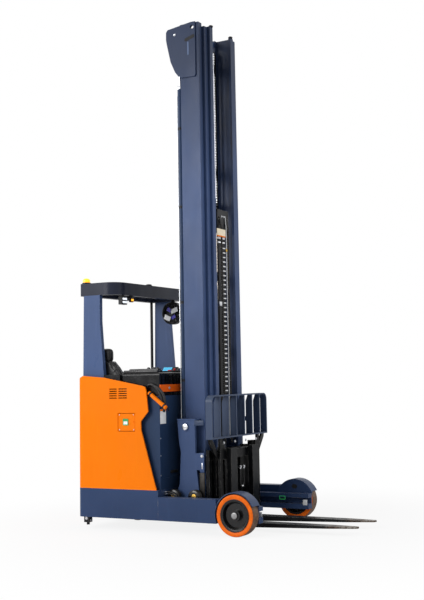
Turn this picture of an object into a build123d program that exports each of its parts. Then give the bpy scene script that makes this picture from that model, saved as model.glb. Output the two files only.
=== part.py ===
"""Reach truck with a three-stage mast, built as separate pieces, in millimetres.

The origin is on the ground, in the middle of the outer box. +X points to the
fork tips, +Y to the truck's left, where the driver steps in, and +Z up.
"""
import os

from build123d import *

os.makedirs("parts", exist_ok=True)

# Clearances
pin_clearance = 0.05
seat_gap = 0.3
moving_gap = 6

# Across the truck, from the mast out to the wheel faces
mast_half_width = 346
reach_plate_gap = 59
reach_plate = 25
rail_gap = 20
rail_depth = 76
wheel_inner_gap = 4
wheel_width = 108
wheel_face_inset = 6
reach_plate_inner_y = mast_half_width + reach_plate_gap
reach_plate_outer_y = reach_plate_inner_y + reach_plate
rail_inner_y = reach_plate_outer_y + rail_gap
cover_plate_y = rail_inner_y + rail_depth
wheel_inner_y = cover_plate_y + wheel_inner_gap
wheel_outer_y = wheel_inner_y + wheel_width
half_width = wheel_outer_y + wheel_face_inset

# Along the truck, from the rear panel to the fork tips
panel_thickness = 12
seat_side_gap = 15.5
seat_width = 410
inner_wall_thickness = 8
battery_rear_gap = 15
battery_length = 350
battery_front_gap = 20
cover_sheet = 12
mast_gap = 110
channel_depth = 197
channel_step = 25
carriage_gap = 8
carriage_plate = 30
shift_plate = 30
holder_gap = 9
holder_plate = 30
fork_length = 1208
console_length = (
    inner_wall_thickness + battery_rear_gap + battery_length + battery_front_gap + cover_sheet
)
hull_length = panel_thickness + 2 * seat_side_gap + seat_width + console_length
carriage_depth = carriage_plate + moving_gap + shift_plate + holder_gap + holder_plate
overall_length = (
    hull_length + mast_gap + channel_depth + 2 * channel_step + carriage_gap + carriage_depth + fork_length
)
rear_x = -overall_length / 2
hull_front_x = rear_x + hull_length
console_rear_x = hull_front_x - console_length
mast_rear_x = hull_front_x + mast_gap
carriage_rear_x = mast_rear_x + channel_depth + 2 * channel_step + carriage_gap
carriage_front_x = carriage_rear_x + carriage_plate
shift_rear_x = carriage_front_x + moving_gap
holder_rear_x = shift_rear_x + shift_plate + holder_gap
fork_shank_x = holder_rear_x + holder_plate
fork_tip_x = fork_shank_x + fork_length

# Heights of the body, from the drive wheel up
drive_radius = 171.5
turntable_gap = 9
turntable_thickness = 28
turntable_skirt = 6
hull_plate = 12
deck_over_turret = 7.7
battery_height = 650
battery_headroom = 120
console_height = 205
panel_below_console = 16
bar_rise = 34
bar_height = 63
cab_headroom = 1690
guard_height = 114
hull_bottom_z = 103
turntable_z = 2 * drive_radius + turntable_gap
turntable_top_z = turntable_z + turntable_thickness
turret_top_z = turntable_top_z + seat_gap + hull_plate
hull_top_z = turntable_z + turntable_skirt
deck_top_z = turret_top_z + deck_over_turret
cover_top_z = deck_top_z + battery_height + battery_headroom
console_top_z = cover_top_z + console_height
panel_top_z = console_top_z - panel_below_console
bar_bottom_z = cover_top_z + bar_rise
bar_top_z = bar_bottom_z + bar_height
guard_bottom_z = deck_top_z + cab_headroom
guard_top_z = guard_bottom_z + guard_height
mast_top_z = 4576

# Body panels, front cover and console in plan
panel_corner_radius = 46
panel_seam_gap = 1
panel_front_inset = 16
panel_seam_y = half_width - panel_corner_radius
panel_inner_y = half_width - panel_thickness
panel_front_x = hull_front_x - panel_front_inset
cover_half_width = panel_seam_y - panel_seam_gap
cover_inner_y = cover_half_width - cover_sheet
near_return = 230
far_return = 70
entry_setback = 308
entry_sill = 62
entry_rear_x = rear_x + entry_setback
entry_sill_z = hull_top_z + entry_sill

# Pillars of the overhead guard
pillar_thickness = 40
pillar_wall = 5
pillar_gap = 20
pillar_outer_y = panel_inner_y - pillar_gap
pillar_inner_y = pillar_outer_y - pillar_thickness

SIDES = (("left", 1), ("right", -1))


def save(builder, name):
    """Label the finished piece and write it."""
    builder.part.label = name
    export_step(builder.part, f"parts/{name}.step")


def block(x, y, z, mode=Mode.ADD):
    """A box between two values on each axis."""
    x, y, z = sorted(x), sorted(y), sorted(z)
    with Locations(((x[0] + x[1]) / 2, (y[0] + y[1]) / 2, (z[0] + z[1]) / 2)):
        Box(x[1] - x[0], y[1] - y[0], z[1] - z[0], mode=mode)


def rod(start, end, radius, mode=Mode.ADD):
    """A round bar between two points."""
    axis = Vector(*end) - Vector(*start)
    with BuildSketch(Plane(origin=start, z_dir=axis)) as section:
        Circle(radius)
    extrude(section.sketch, amount=axis.length, mode=mode)


def side_prism(points, y0, y1, mode=Mode.ADD):
    """An outline of (x, z) points, extruded from y0 to y1."""
    with BuildSketch(Plane.XZ.offset(-y0)) as outline:
        with BuildLine():
            Polyline(*points, close=True)
        make_face()
    extrude(outline.sketch, amount=y0 - y1, mode=mode)


def turned(points, centre, along, mode=Mode.ADD):
    """A turned solid: each point is (distance along the axis, radius)."""
    across = Vector(1, 0, 0) if abs(along[2]) > 0.5 else Vector(0, 0, 1)
    plane = Plane(origin=centre, x_dir=along, z_dir=Vector(*along).cross(across))
    with BuildSketch(plane) as profile:
        with BuildLine():
            Polyline(*points, close=True)
        make_face()
    revolve(profile.sketch, axis=Axis(centre, along), mode=mode)


def ring(centre, along, start, end, outer, inner=0, chamfered=0, mode=Mode.ADD):
    """A turned ring or disc from start to end along its axis."""
    points = [
        (start, inner),
        (start, outer - chamfered),
        (start + chamfered, outer),
        (end - chamfered, outer),
        (end, outer - chamfered),
        (end, inner),
    ]
    if not chamfered:
        points = [(start, inner), (start, outer), (end, outer), (end, inner)]
    turned(points, centre, along, mode)


# Drive unit's size, which the hull's round well is cut for
drive_width = 90
well_gap = 8.7
turret_wall = 10
well_rear_gap = 20
king_pin_radius = 30
well_radius = Vector(drive_radius, drive_width / 2).length + well_gap
turret_radius = well_radius + turret_wall
drive_x = rear_x + hull_plate + well_rear_gap + turret_radius
drive_centre = (drive_x, 0, 0)
UP = (0, 0, 1)

# Hull: a plate box under the body, with a round well for the drive wheel
with BuildPart() as hull:
    block((rear_x, hull_front_x), (-half_width, half_width), (hull_bottom_z, hull_top_z))
    fillet(hull.edges().filter_by(Axis.Z).group_by(Axis.X)[0], panel_corner_radius)
    block(
        (rear_x + hull_plate, hull_front_x - hull_plate),
        (-half_width + hull_plate, half_width - hull_plate),
        (hull_bottom_z + hull_plate, hull_top_z - hull_plate),
        Mode.SUBTRACT,
    )
    turret_roof_z = turret_top_z - hull_plate
    ring(drive_centre, UP, hull_bottom_z + hull_plate, turret_top_z, turret_radius)
    ring(drive_centre, UP, hull_bottom_z, turret_roof_z, well_radius, mode=Mode.SUBTRACT)
    king_bore = king_pin_radius + pin_clearance
    ring(drive_centre, UP, turret_roof_z, turret_top_z, king_bore, mode=Mode.SUBTRACT)
save(hull, "hull")

# Deck: the floor of the driver's place, over the hull
with BuildPart() as deck:
    block(
        (rear_x + panel_thickness, hull_front_x - cover_sheet),
        (-cover_inner_y, pillar_outer_y),
        (hull_top_z, deck_top_z),
    )
    fillet(deck.edges().filter_by(Axis.Z).group_by(Axis.X)[0], panel_corner_radius - panel_thickness)
    ring(
        drive_centre, UP, hull_top_z, turret_top_z + seat_gap, turret_radius + seat_gap, mode=Mode.SUBTRACT
    )
save(deck, "deck")

# Load wheels, legs and the rails that the reach carriage rolls on
wheel_radius = 175
tyre_thickness = 40
tyre_chamfer = 5
axle_reach = 750
axle_radius = 20
axle_cap_radius = 31
leg_height = 198
leg_box_width = 84
rail_height = 137
rail_flange_top = 37
rail_flange_bottom = 47
rail_web = 14
rail_length = 920
cover_gap = 8
cover_thickness = 8
cover_start_angle = 25
cover_plate_thickness = 12
axle_x = hull_front_x + axle_reach
leg_top_z = hull_bottom_z + leg_height
rail_top_z = hull_bottom_z + rail_height
rail_front_x = hull_front_x + rail_length
cover_inner_radius = wheel_radius + cover_gap
cover_outer_radius = cover_inner_radius + cover_thickness
wheel_centre = (axle_x, 0, wheel_radius)


def cover_arch(side):
    """The curved cover over the rear half of a load wheel's tyre."""
    reach = 2 * cover_outer_radius
    start = Vector(reach, 0).rotate(Axis.Z, cover_start_angle)
    with BuildSketch(Plane.XZ.offset(-side * cover_plate_y)) as arch:
        with Locations((axle_x, wheel_radius)):
            Circle(cover_outer_radius)
            Circle(cover_inner_radius, mode=Mode.SUBTRACT)
        with BuildLine():
            Polyline(
                (axle_x, wheel_radius),
                (axle_x + start.X, wheel_radius + start.Y),
                (axle_x + reach, wheel_radius + reach),
                (axle_x - reach, wheel_radius + reach),
                (axle_x - reach, wheel_radius),
                close=True,
            )
        make_face(mode=Mode.INTERSECT)
    extrude(arch.sketch, amount=-side * (wheel_outer_y - cover_plate_y))


for name, side in SIDES:
    outward = (0, side, 0)
    leg_end_x = axle_x - cover_inner_radius + cover_thickness
    box_inner_y = half_width - leg_box_width
    with BuildPart() as leg:
        block(
            (hull_front_x, leg_end_x),
            (side * box_inner_y, side * half_width),
            (hull_bottom_z, leg_top_z),
        )
        block(
            (hull_front_x, leg_end_x),
            (side * cover_plate_y, side * box_inner_y),
            (hull_bottom_z, hull_bottom_z + hull_plate),
        )
        ring(wheel_centre, outward, cover_plate_y, half_width, cover_inner_radius, mode=Mode.SUBTRACT)
        # Roller rail: a channel that opens towards the middle
        block(
            (hull_front_x, rail_front_x),
            (side * rail_inner_y, side * cover_plate_y),
            (hull_bottom_z, rail_top_z),
        )
        block(
            (hull_front_x, rail_front_x),
            (side * rail_inner_y, side * (cover_plate_y - rail_web)),
            (hull_bottom_z + rail_flange_bottom, rail_top_z - rail_flange_top),
            Mode.SUBTRACT,
        )
        # Cover plate beside the tyre, above the rail
        with BuildSketch(Plane.XZ.offset(-side * cover_plate_y)) as plate:
            with Locations((axle_x, wheel_radius)):
                Circle(cover_outer_radius)
            with Locations((axle_x, rail_top_z - cover_outer_radius)):
                Rectangle(3 * cover_outer_radius, 2 * cover_outer_radius, mode=Mode.SUBTRACT)
        extrude(plate.sketch, amount=side * cover_plate_thickness)
        cover_arch(side)
        ring(wheel_centre, outward, cover_plate_y, wheel_inner_y - seat_gap, axle_cap_radius)
        ring(wheel_centre, outward, cover_plate_y, wheel_outer_y, axle_radius)
    save(leg, f"leg_{name}")

# Load wheels: a bonded tyre on a dished hub
rim_radius = wheel_radius - tyre_thickness
hub_rim = 20
hub_lip = 2
hub_bevel = 6
hub_boss_radius = 48
hub_web = 22
hub_dish_depth = 34
rim_inner = rim_radius - hub_rim
web_end = wheel_outer_y - hub_dish_depth
hub_bore = axle_radius + pin_clearance
for name, side in SIDES:
    outward = (0, side, 0)
    with BuildPart() as tyre:
        ring(wheel_centre, outward, wheel_inner_y, wheel_outer_y, wheel_radius, rim_radius, tyre_chamfer)
    save(tyre, f"load_tyre_{name}")
    with BuildPart() as hub:
        turned(
            [
                (wheel_inner_y, hub_bore),
                (wheel_inner_y, hub_boss_radius),
                (web_end - hub_web, hub_boss_radius),
                (web_end - hub_web, rim_inner),
                (wheel_inner_y + hub_lip, rim_inner),
                (wheel_inner_y + hub_lip, rim_radius - seat_gap),
                (wheel_outer_y - hub_lip, rim_radius - seat_gap),
                (wheel_outer_y - hub_bevel, rim_inner),
                (web_end, rim_inner - hub_dish_depth / 2),
                (web_end, hub_boss_radius),
                (wheel_outer_y - hub_lip, hub_boss_radius),
                (wheel_outer_y - hub_lip, hub_bore),
            ],
            wheel_centre,
            outward,
        )
        # Cap over the axle's end
        cap_start = wheel_outer_y + seat_gap
        ring(wheel_centre, outward, cap_start, half_width, axle_cap_radius)
        ring(wheel_centre, outward, wheel_outer_y - hub_lip, cap_start, axle_cap_radius, axle_radius + 2)
    save(hub, f"load_hub_{name}")

# Drive unit: turntable, gear case beside the wheel, and the wheel
turntable_radius = 150
gear_case_width = 58
gear_case_half_length = 85
gear_case_bottom_z = 70
drive_bore = 25
drive_tyre_thickness = 36
drive_hub_lip = 2
drive_wheel_centre = (drive_x, 0, drive_radius)
with BuildPart() as drive_unit:
    ring(drive_centre, UP, turntable_z, turntable_top_z, turntable_radius)
    ring(drive_centre, UP, turntable_z, turret_top_z, king_pin_radius)
    case_start_y = drive_width / 2 + moving_gap
    block(
        (drive_x - gear_case_half_length, drive_x + gear_case_half_length),
        (case_start_y, case_start_y + gear_case_width),
        (gear_case_bottom_z, turntable_z),
    )
    fillet(drive_unit.edges().filter_by(Axis.Y).group_by(Axis.Z)[0], gear_case_half_length / 2)
    rod((drive_x, case_start_y, drive_radius), (drive_x, -drive_width / 2, drive_radius), drive_bore)
save(drive_unit, "drive_unit")

drive_rim_radius = drive_radius - drive_tyre_thickness
with BuildPart() as drive_tyre:
    ring(
        drive_wheel_centre,
        (0, 1, 0),
        -drive_width / 2,
        drive_width / 2,
        drive_radius,
        drive_rim_radius,
        tyre_chamfer,
    )
save(drive_tyre, "drive_tyre")

with BuildPart() as drive_hub:
    ring(
        drive_wheel_centre,
        (0, 1, 0),
        -drive_width / 2 + drive_hub_lip,
        drive_width / 2 - drive_hub_lip,
        drive_rim_radius - seat_gap,
        drive_bore + pin_clearance,
    )
save(drive_hub, "drive_hub")

# Two rear feet that keep the body from tipping
foot_length = 55
foot_width = 50
foot_height = 51
foot_setback = 53
foot_inset = 19
foot_pin_radius = 14
foot_pin_drop = 22
with BuildPart() as rear_feet:
    for side in (-1, 1):
        foot_rear_x = rear_x + foot_setback
        foot_outer_y = half_width - foot_inset
        foot_bottom_z = hull_bottom_z - foot_height
        block(
            (foot_rear_x, foot_rear_x + foot_length),
            (side * (foot_outer_y - foot_width), side * foot_outer_y),
            (foot_bottom_z, hull_bottom_z),
        )
        foot_x = foot_rear_x + foot_length / 2
        foot_y = side * (foot_outer_y - foot_width / 2)
        rod(
            (foot_x, foot_y, foot_bottom_z - foot_pin_drop),
            (foot_x, foot_y, foot_bottom_z),
            foot_pin_radius,
        )
save(rear_feet, "rear_feet")

# Outline of the side panels, seen from the side. Rear rows give the distance
# from the rear face, front rows that behind the hull's front, and both the
# depth below the panel's top
outline_rear = ((0, 54), (20, 19), (61, 0), (291, 20))
outline_front = ((154, 99), (122, 111), (112, 137), (92, 324), (170, 410), (168, 484))
side_outline = [(rear_x, hull_top_z)]
side_outline += [(rear_x + ahead, panel_top_z - below) for ahead, below in outline_rear]
side_outline += [(hull_front_x - behind, panel_top_z - below) for behind, below in outline_front]
side_outline += [(panel_front_x, hull_top_z)]


def body_skin():
    """The bent sheet round the sides and the rear, cut to the side outline."""
    length = panel_front_x - rear_x
    inner_length = length + 2 * panel_corner_radius
    with BuildSketch(Plane.XY.offset(hull_top_z)) as plan:
        with Locations((rear_x + length / 2, 0)):
            Rectangle(length, 2 * half_width)
        fillet(plan.vertices().group_by(Axis.X)[0], panel_corner_radius)
        with Locations((rear_x + panel_thickness + inner_length / 2, 0)):
            RectangleRounded(
                inner_length,
                2 * panel_inner_y,
                panel_corner_radius - panel_thickness,
                mode=Mode.SUBTRACT,
            )
    extrude(plan.sketch, amount=panel_top_z - hull_top_z)
    side_prism(side_outline, -half_width, half_width, Mode.INTERSECT)


# Service door and the pocket behind it
door_setback = 454
door_length = 169
door_lift = 508
door_height = 152
door_thickness = 10
door_inset = 4
door_edge_gap = 5
door_pin_radius = 2
door_barrel_radius = 5
door_barrel_inset = 2
door_pin_inset = 7
door_tab = 4
door_knob_radius = 9
door_knob_inset = 18
door_knob_lift = 79
pocket_wall = 4
pocket_gap = 5
door_rear_x = rear_x + door_setback
door_front_x = door_rear_x + door_length
door_bottom_z = hull_top_z + door_lift
door_top_z = door_bottom_z + door_height
door_pin_x = door_rear_x - door_pin_inset
door_pin_y = -half_width + door_barrel_radius + door_barrel_inset
pocket_x = (door_pin_x - door_edge_gap, door_front_x + door_edge_gap)
pocket_z = (door_bottom_z - door_edge_gap, door_top_z + door_edge_gap)
pocket_back_y = -cover_half_width - pocket_gap

# Vents: one row of slots per height, with one slot per column of the table,
# whose columns are the distance from the rear face and the slot's length
vent_slots = ((351, 83), (450, 93))
vent_rows = 5
vent_height = 9
vent_pitch = 20
vent_drop = 119

# Right side panel
with BuildPart() as side_panel_right:
    body_skin()
    block((rear_x, panel_front_x), (-half_width, -panel_seam_y), (hull_top_z, panel_top_z), Mode.INTERSECT)
    for row in range(vent_rows):
        z = panel_top_z - vent_drop - row * vent_pitch
        for setback, length in vent_slots:
            block(
                (rear_x + setback, rear_x + setback + length),
                (-half_width, -panel_inner_y),
                (z - vent_height, z),
                Mode.SUBTRACT,
            )
    block(
        (pocket_x[0] - pocket_wall, pocket_x[1] + pocket_wall),
        (-panel_inner_y, pocket_back_y),
        (pocket_z[0] - pocket_wall, pocket_z[1] + pocket_wall),
    )
    block(pocket_x, (-half_width, pocket_back_y - pocket_wall), pocket_z, Mode.SUBTRACT)
    rod((door_pin_x, door_pin_y, pocket_z[0]), (door_pin_x, door_pin_y, pocket_z[1]), door_pin_radius)
save(side_panel_right, "side_panel_right")

# Service door, hung on the pin at its rear edge
with BuildPart() as service_door:
    leaf_outer_y = -half_width + door_inset
    block(
        (door_rear_x, door_front_x),
        (leaf_outer_y, leaf_outer_y + door_thickness),
        (door_bottom_z, door_top_z),
    )
    pin_foot = (door_pin_x, door_pin_y, door_bottom_z)
    pin_head = (door_pin_x, door_pin_y, door_top_z)
    rod(pin_foot, pin_head, door_barrel_radius)
    block(
        (door_pin_x, door_rear_x),
        (door_pin_y - door_tab / 2, door_pin_y + door_tab / 2),
        (door_bottom_z, door_top_z),
    )
    rod(pin_foot, pin_head, door_pin_radius + pin_clearance, Mode.SUBTRACT)
    knob_x = door_front_x - door_knob_inset
    knob_z = door_bottom_z + door_knob_lift
    rod((knob_x, -half_width, knob_z), (knob_x, leaf_outer_y, knob_z), door_knob_radius)
save(service_door, "service_door")

# Left side panel, cut away for the entry
with BuildPart() as side_panel_left:
    body_skin()
    block((rear_x, panel_front_x), (panel_seam_y, half_width), (hull_top_z, panel_top_z), Mode.INTERSECT)
    block(
        (entry_rear_x, panel_front_x),
        (panel_seam_y, half_width),
        (entry_sill_z, panel_top_z),
        Mode.SUBTRACT,
    )
save(side_panel_left, "side_panel_left")

with BuildPart() as rear_panel:
    body_skin()
    block(
        (rear_x, rear_x + panel_thickness),
        (-panel_seam_y, panel_seam_y),
        (hull_top_z, panel_top_z),
        Mode.INTERSECT,
    )
save(rear_panel, "rear_panel")

# Front cover: a sheet behind the mast, bent back at both ends
with BuildPart() as front_cover:
    cover_rear_x = hull_front_x - cover_sheet
    block(
        (cover_rear_x, hull_front_x),
        (-cover_half_width, cover_half_width),
        (hull_top_z, cover_top_z),
    )
    block(
        (hull_front_x - near_return, cover_rear_x),
        (-cover_half_width, -cover_inner_y),
        (hull_top_z, cover_top_z),
    )
    block(
        (hull_front_x - far_return, cover_rear_x),
        (cover_inner_y, cover_half_width),
        (deck_top_z, cover_top_z),
    )
save(front_cover, "front_cover")

# Battery, one plain block, and the wall between it and the driver
battery_width = 790
battery_side_gap = 10
battery_inner_gap = 12
battery_rear_x = console_rear_x + inner_wall_thickness + battery_rear_gap
battery_right_y = -cover_inner_y + battery_side_gap
battery_left_y = battery_right_y + battery_width
console_left_y = battery_left_y + battery_inner_gap + inner_wall_thickness
with BuildPart() as battery:
    block(
        (battery_rear_x, battery_rear_x + battery_length),
        (battery_right_y, battery_left_y),
        (deck_top_z, deck_top_z + battery_height),
    )
save(battery, "battery")

with BuildPart() as inner_wall:
    block(
        (console_rear_x, console_rear_x + inner_wall_thickness),
        (-cover_inner_y, console_left_y),
        (deck_top_z, cover_top_z),
    )
    block(
        (console_rear_x + inner_wall_thickness, cover_rear_x),
        (console_left_y - inner_wall_thickness, console_left_y),
        (deck_top_z, cover_top_z),
    )
save(inner_wall, "inner_wall")

# Console over the battery, with ribs on its front face
console_round = 24
ledge_depth = 60
ledge_height = 130
rim_width = 55
rim_inset = 12
rim_height = 72
rim_rise = 3
pillar_rim_gap = 6
pillar_setback = 42
pillar_length = 228
rib_pitch = 62
rib_width = 16
rib_depth = 6
rib_first = 37
rib_gap = 6
rib_top_drop = 26
pillar_rear_x = rear_x + pillar_setback
pillar_front_x = pillar_rear_x + pillar_length
with BuildPart() as console:
    block(
        (console_rear_x, hull_front_x),
        (-cover_half_width, console_left_y),
        (cover_top_z, console_top_z),
    )
    fillet(console.edges().group_by(Axis.Z)[-1], console_round)
    block(
        (hull_front_x - ledge_depth, hull_front_x),
        (console_left_y, cover_half_width),
        (cover_top_z, cover_top_z + ledge_height),
    )
    # Trim between the console and the pillar, inside the side panel's edge
    rim_outer_y = panel_inner_y - rim_inset
    rim_top_z = panel_top_z + rim_rise
    block(
        (pillar_front_x + pillar_rim_gap, console_rear_x),
        (-rim_outer_y, -rim_outer_y + rim_width),
        (rim_top_z - rim_height, rim_top_z),
    )
    rib_count = int((console_left_y + cover_half_width) / rib_pitch)
    for rib in range(rib_count):
        rib_y = -cover_half_width + rib_first + rib * rib_pitch
        block(
            (hull_front_x, hull_front_x + rib_depth),
            (rib_y, rib_y + rib_width),
            (bar_top_z + rib_gap, console_top_z - rib_top_drop),
        )
save(console, "console")

bar_thickness = 12
with BuildPart() as cross_bar:
    block(
        (hull_front_x, hull_front_x + bar_thickness),
        (-cover_half_width, cover_half_width),
        (bar_bottom_z, bar_top_z),
    )
save(cross_bar, "cross_bar")

# Display hood at the console's far end, with its screen facing the near side
hood_length = 180
hood_inset = 5
hood_left_gap = 75
hood_width = 80
hood_height = 39
hood_back_height = 29
hood_top_width = 44
with BuildPart() as display_hood:
    hood_left_y = console_left_y - hood_left_gap
    with BuildSketch(Plane.YZ.offset(console_rear_x + hood_inset)) as hood:
        with BuildLine():
            Polyline(
                (hood_left_y - hood_width, console_top_z),
                (hood_left_y, console_top_z),
                (hood_left_y, console_top_z + hood_back_height),
                (hood_left_y - (hood_width - hood_top_width) / 2, console_top_z + hood_height),
                (hood_left_y - (hood_width + hood_top_width) / 2, console_top_z + hood_height),
                close=True,
            )
        make_face()
    extrude(hood.sketch, amount=hood_length)
save(display_hood, "display_hood")

# Seat on a hollow base, facing the far side
seat_base_inset = 15
seat_base_setback = 30
seat_base_wall = 8
seat_rise = 390
seat_cushion_height = 105
seat_cushion_depth = 520
seat_cushion_round = 28
seat_pillar_gap = 17
seat_back_depth = 105
seat_back_lift = 60
seat_back_height = 655
seat_back_round = 22
shoulder_drop = 165
shoulder_slope = 100
shoulder_inset = 70
link_width = 180
link_overlap = 40
link_lap = 70
headrest_width = 138
headrest_depth = 85
headrest_height = 135
headrest_round = 26
seat_x = (rear_x + panel_thickness + console_rear_x) / 2
seat_rear_x = seat_x - seat_width / 2
seat_front_x = seat_x + seat_width / 2
seat_cushion_z = deck_top_z + seat_rise
seat_back_y = -pillar_inner_y + seat_pillar_gap
seat_back_front_y = seat_back_y + seat_back_depth
seat_front_y = seat_back_front_y + seat_cushion_depth
headrest_bottom_z = seat_cushion_z + seat_back_lift + seat_back_height
with BuildPart() as seat_base:
    base_x = (seat_rear_x + seat_base_inset, seat_front_x - seat_base_inset)
    base_y = (seat_back_front_y, seat_front_y - seat_base_setback)
    block(base_x, base_y, (deck_top_z, seat_cushion_z))
    block(
        (base_x[0] + seat_base_wall, base_x[1] - seat_base_wall),
        (base_y[0] + seat_base_wall, base_y[1] - seat_base_wall),
        (deck_top_z, seat_cushion_z - seat_base_wall),
        Mode.SUBTRACT,
    )
save(seat_base, "seat_base")

with BuildPart() as seat_cushion:
    block(
        (seat_rear_x, seat_front_x),
        (seat_back_front_y, seat_front_y),
        (seat_cushion_z, seat_cushion_z + seat_cushion_height),
    )
    fillet(seat_cushion.edges().group_by(Axis.Z)[-1], seat_cushion_round)
save(seat_cushion, "seat_cushion")

with BuildPart() as seat_back:
    shoulder_z = headrest_bottom_z - shoulder_drop
    side_prism(
        [
            (seat_rear_x, seat_cushion_z + seat_back_lift),
            (seat_front_x, seat_cushion_z + seat_back_lift),
            (seat_front_x, shoulder_z),
            (seat_front_x - shoulder_inset, shoulder_z + shoulder_slope),
            (seat_x + headrest_width / 2, headrest_bottom_z),
            (seat_x - headrest_width / 2, headrest_bottom_z),
            (seat_rear_x + shoulder_inset, shoulder_z + shoulder_slope),
            (seat_rear_x, shoulder_z),
        ],
        seat_back_y,
        seat_back_front_y,
    )
    fillet(seat_back.edges().filter_by(Axis.Y), seat_back_round)
    # Link down to the base
    block(
        (seat_x - link_width / 2, seat_x + link_width / 2),
        (seat_back_y, seat_back_front_y),
        (seat_cushion_z - link_overlap, seat_cushion_z + link_lap),
    )
save(seat_back, "seat_back")

with BuildPart() as headrest:
    block(
        (seat_x - headrest_width / 2, seat_x + headrest_width / 2),
        (seat_back_y, seat_back_y + headrest_depth),
        (headrest_bottom_z, headrest_bottom_z + headrest_height),
    )
    fillet(headrest.edges().group_by(Axis.Z)[-1] + headrest.edges().filter_by(Axis.Z), headrest_round)
save(headrest, "headrest")

# Overhead guard: two pillars, a frame with bars, and a pole
pillar_top_rear = 10
pillar_top_front = 38
pillar_kink_rise = 6
pillar_waist_drop = 240
for name, side in SIDES:
    with BuildPart() as pillar:
        pillar_y = (side * pillar_inner_y, side * pillar_outer_y)
        kink_z = panel_top_z + pillar_kink_rise
        side_prism(
            [
                (pillar_rear_x, deck_top_z),
                (pillar_front_x, deck_top_z),
                (pillar_front_x, kink_z),
                (pillar_front_x - pillar_top_front, guard_bottom_z - pillar_waist_drop),
                (pillar_front_x - pillar_top_front, guard_bottom_z),
                (pillar_rear_x + pillar_top_rear, guard_bottom_z),
                (pillar_rear_x, kink_z),
            ],
            *pillar_y,
        )
        block(
            (pillar_rear_x + pillar_top_rear + pillar_wall, pillar_front_x - pillar_top_front - pillar_wall),
            (side * (pillar_inner_y + pillar_wall), side * (pillar_outer_y - pillar_wall)),
            (deck_top_z, guard_bottom_z),
            Mode.SUBTRACT,
        )
    save(pillar, f"pillar_{name}")

guard_length = 408
guard_inset = 8
guard_beam = 58
guard_corner_radius = 140
guard_rear_radius = 20
guard_bars = 6
guard_bar_width = 14
guard_bar_drop = 26
guard_half_width = pillar_outer_y - guard_inset
guard_front_x = rear_x + guard_length
with BuildPart() as guard:
    with BuildSketch(Plane.XY.offset(guard_bottom_z)) as plan:
        with Locations((rear_x + guard_length / 2, 0)):
            Rectangle(guard_length, 2 * guard_half_width)
        fillet(plan.vertices().group_by(Axis.X)[-1], guard_corner_radius)
        fillet(plan.vertices().group_by(Axis.X)[0], guard_rear_radius)
        offset(amount=-guard_beam, mode=Mode.SUBTRACT)
    extrude(plan.sketch, amount=guard_height)
    bar_pitch = 2 * guard_half_width / (guard_bars + 1)
    for bar in range(guard_bars):
        bar_y = -guard_half_width + (bar + 1) * bar_pitch
        block(
            (rear_x + guard_beam / 2, guard_front_x - guard_beam / 2),
            (bar_y - guard_bar_width / 2, bar_y + guard_bar_width / 2),
            (guard_bottom_z + guard_bar_drop, guard_top_z - guard_bar_drop),
        )
save(guard, "guard")

pole_radius = 14
pole_gap = 4
pole_inset = 32
pole_x = rear_x + panel_thickness + pole_gap + pole_radius
pole_y = pillar_inner_y - pole_inset
with BuildPart() as pole:
    rod((pole_x, pole_y, deck_top_z), (pole_x, pole_y, guard_bottom_z), pole_radius)
save(pole, "pole")

# Steering dash and wheel, at the driver's left hand
dash_half_width = 140
dash_front_reach = 86
dash_rise = 560
dash_round = 40
steer_radius = 118
steer_rim = 12
steer_rear_gap = 20
steer_rise = 62
column_radius = 15
column_depth = 60
steer_hub_radius = 34
steer_hub_below = 24
steer_hub_above = 8
spoke_radius = 8
spoke_drop = 6
spoke_angles = (90, 210, 330)
knob_angle = 150
knob_radius = 19
knob_lift = 20
knob_height = 38
knob_stem = 14
dash_top_z = deck_top_z + dash_rise
steer_x = rear_x + panel_thickness + steer_rear_gap + steer_radius + steer_rim
steer_y = (seat_front_y + pole_y - pole_radius) / 2
with BuildPart() as steering_dash:
    block(
        (rear_x + panel_thickness, steer_x + dash_front_reach),
        (steer_y - dash_half_width, steer_y + dash_half_width),
        (deck_top_z, dash_top_z),
    )
    fillet(steering_dash.edges().group_by(Axis.Z)[-1].sort_by(Axis.X)[-1], dash_round)
    rod(
        (steer_x, steer_y, dash_top_z - column_depth),
        (steer_x, steer_y, dash_top_z),
        column_radius + pin_clearance,
        Mode.SUBTRACT,
    )
save(steering_dash, "steering_dash")

with BuildPart() as steering_wheel:
    rim_z = dash_top_z + steer_rise
    steer_centre = (steer_x, steer_y, rim_z)
    rim_outer = steer_radius + steer_rim
    rim_bore = steer_radius - steer_rim
    ring(steer_centre, UP, -steer_rim, steer_rim, rim_outer, rim_bore, steer_rim / 2)
    ring(steer_centre, UP, -steer_hub_below, steer_hub_above, steer_hub_radius)
    rod((steer_x, steer_y, dash_top_z - column_depth + seat_gap), steer_centre, column_radius)
    for angle in spoke_angles:
        tip = Vector(steer_radius, 0).rotate(Axis.Z, angle)
        rod(
            (steer_x, steer_y, rim_z - spoke_drop),
            (steer_x + tip.X, steer_y + tip.Y, rim_z - spoke_drop),
            spoke_radius,
        )
    knob = Vector(steer_radius, 0).rotate(Axis.Z, knob_angle)
    knob_x = steer_x + knob.X
    knob_y = steer_y + knob.Y
    block(
        (knob_x - knob_stem / 2, knob_x + knob_stem / 2),
        (knob_y - knob_stem / 2, knob_y + knob_stem / 2),
        (rim_z, rim_z + knob_lift),
    )
    rod((knob_x, knob_y, rim_z + knob_lift), (knob_x, knob_y, rim_z + knob_lift + knob_height), knob_radius)
save(steering_wheel, "steering_wheel")

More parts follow.
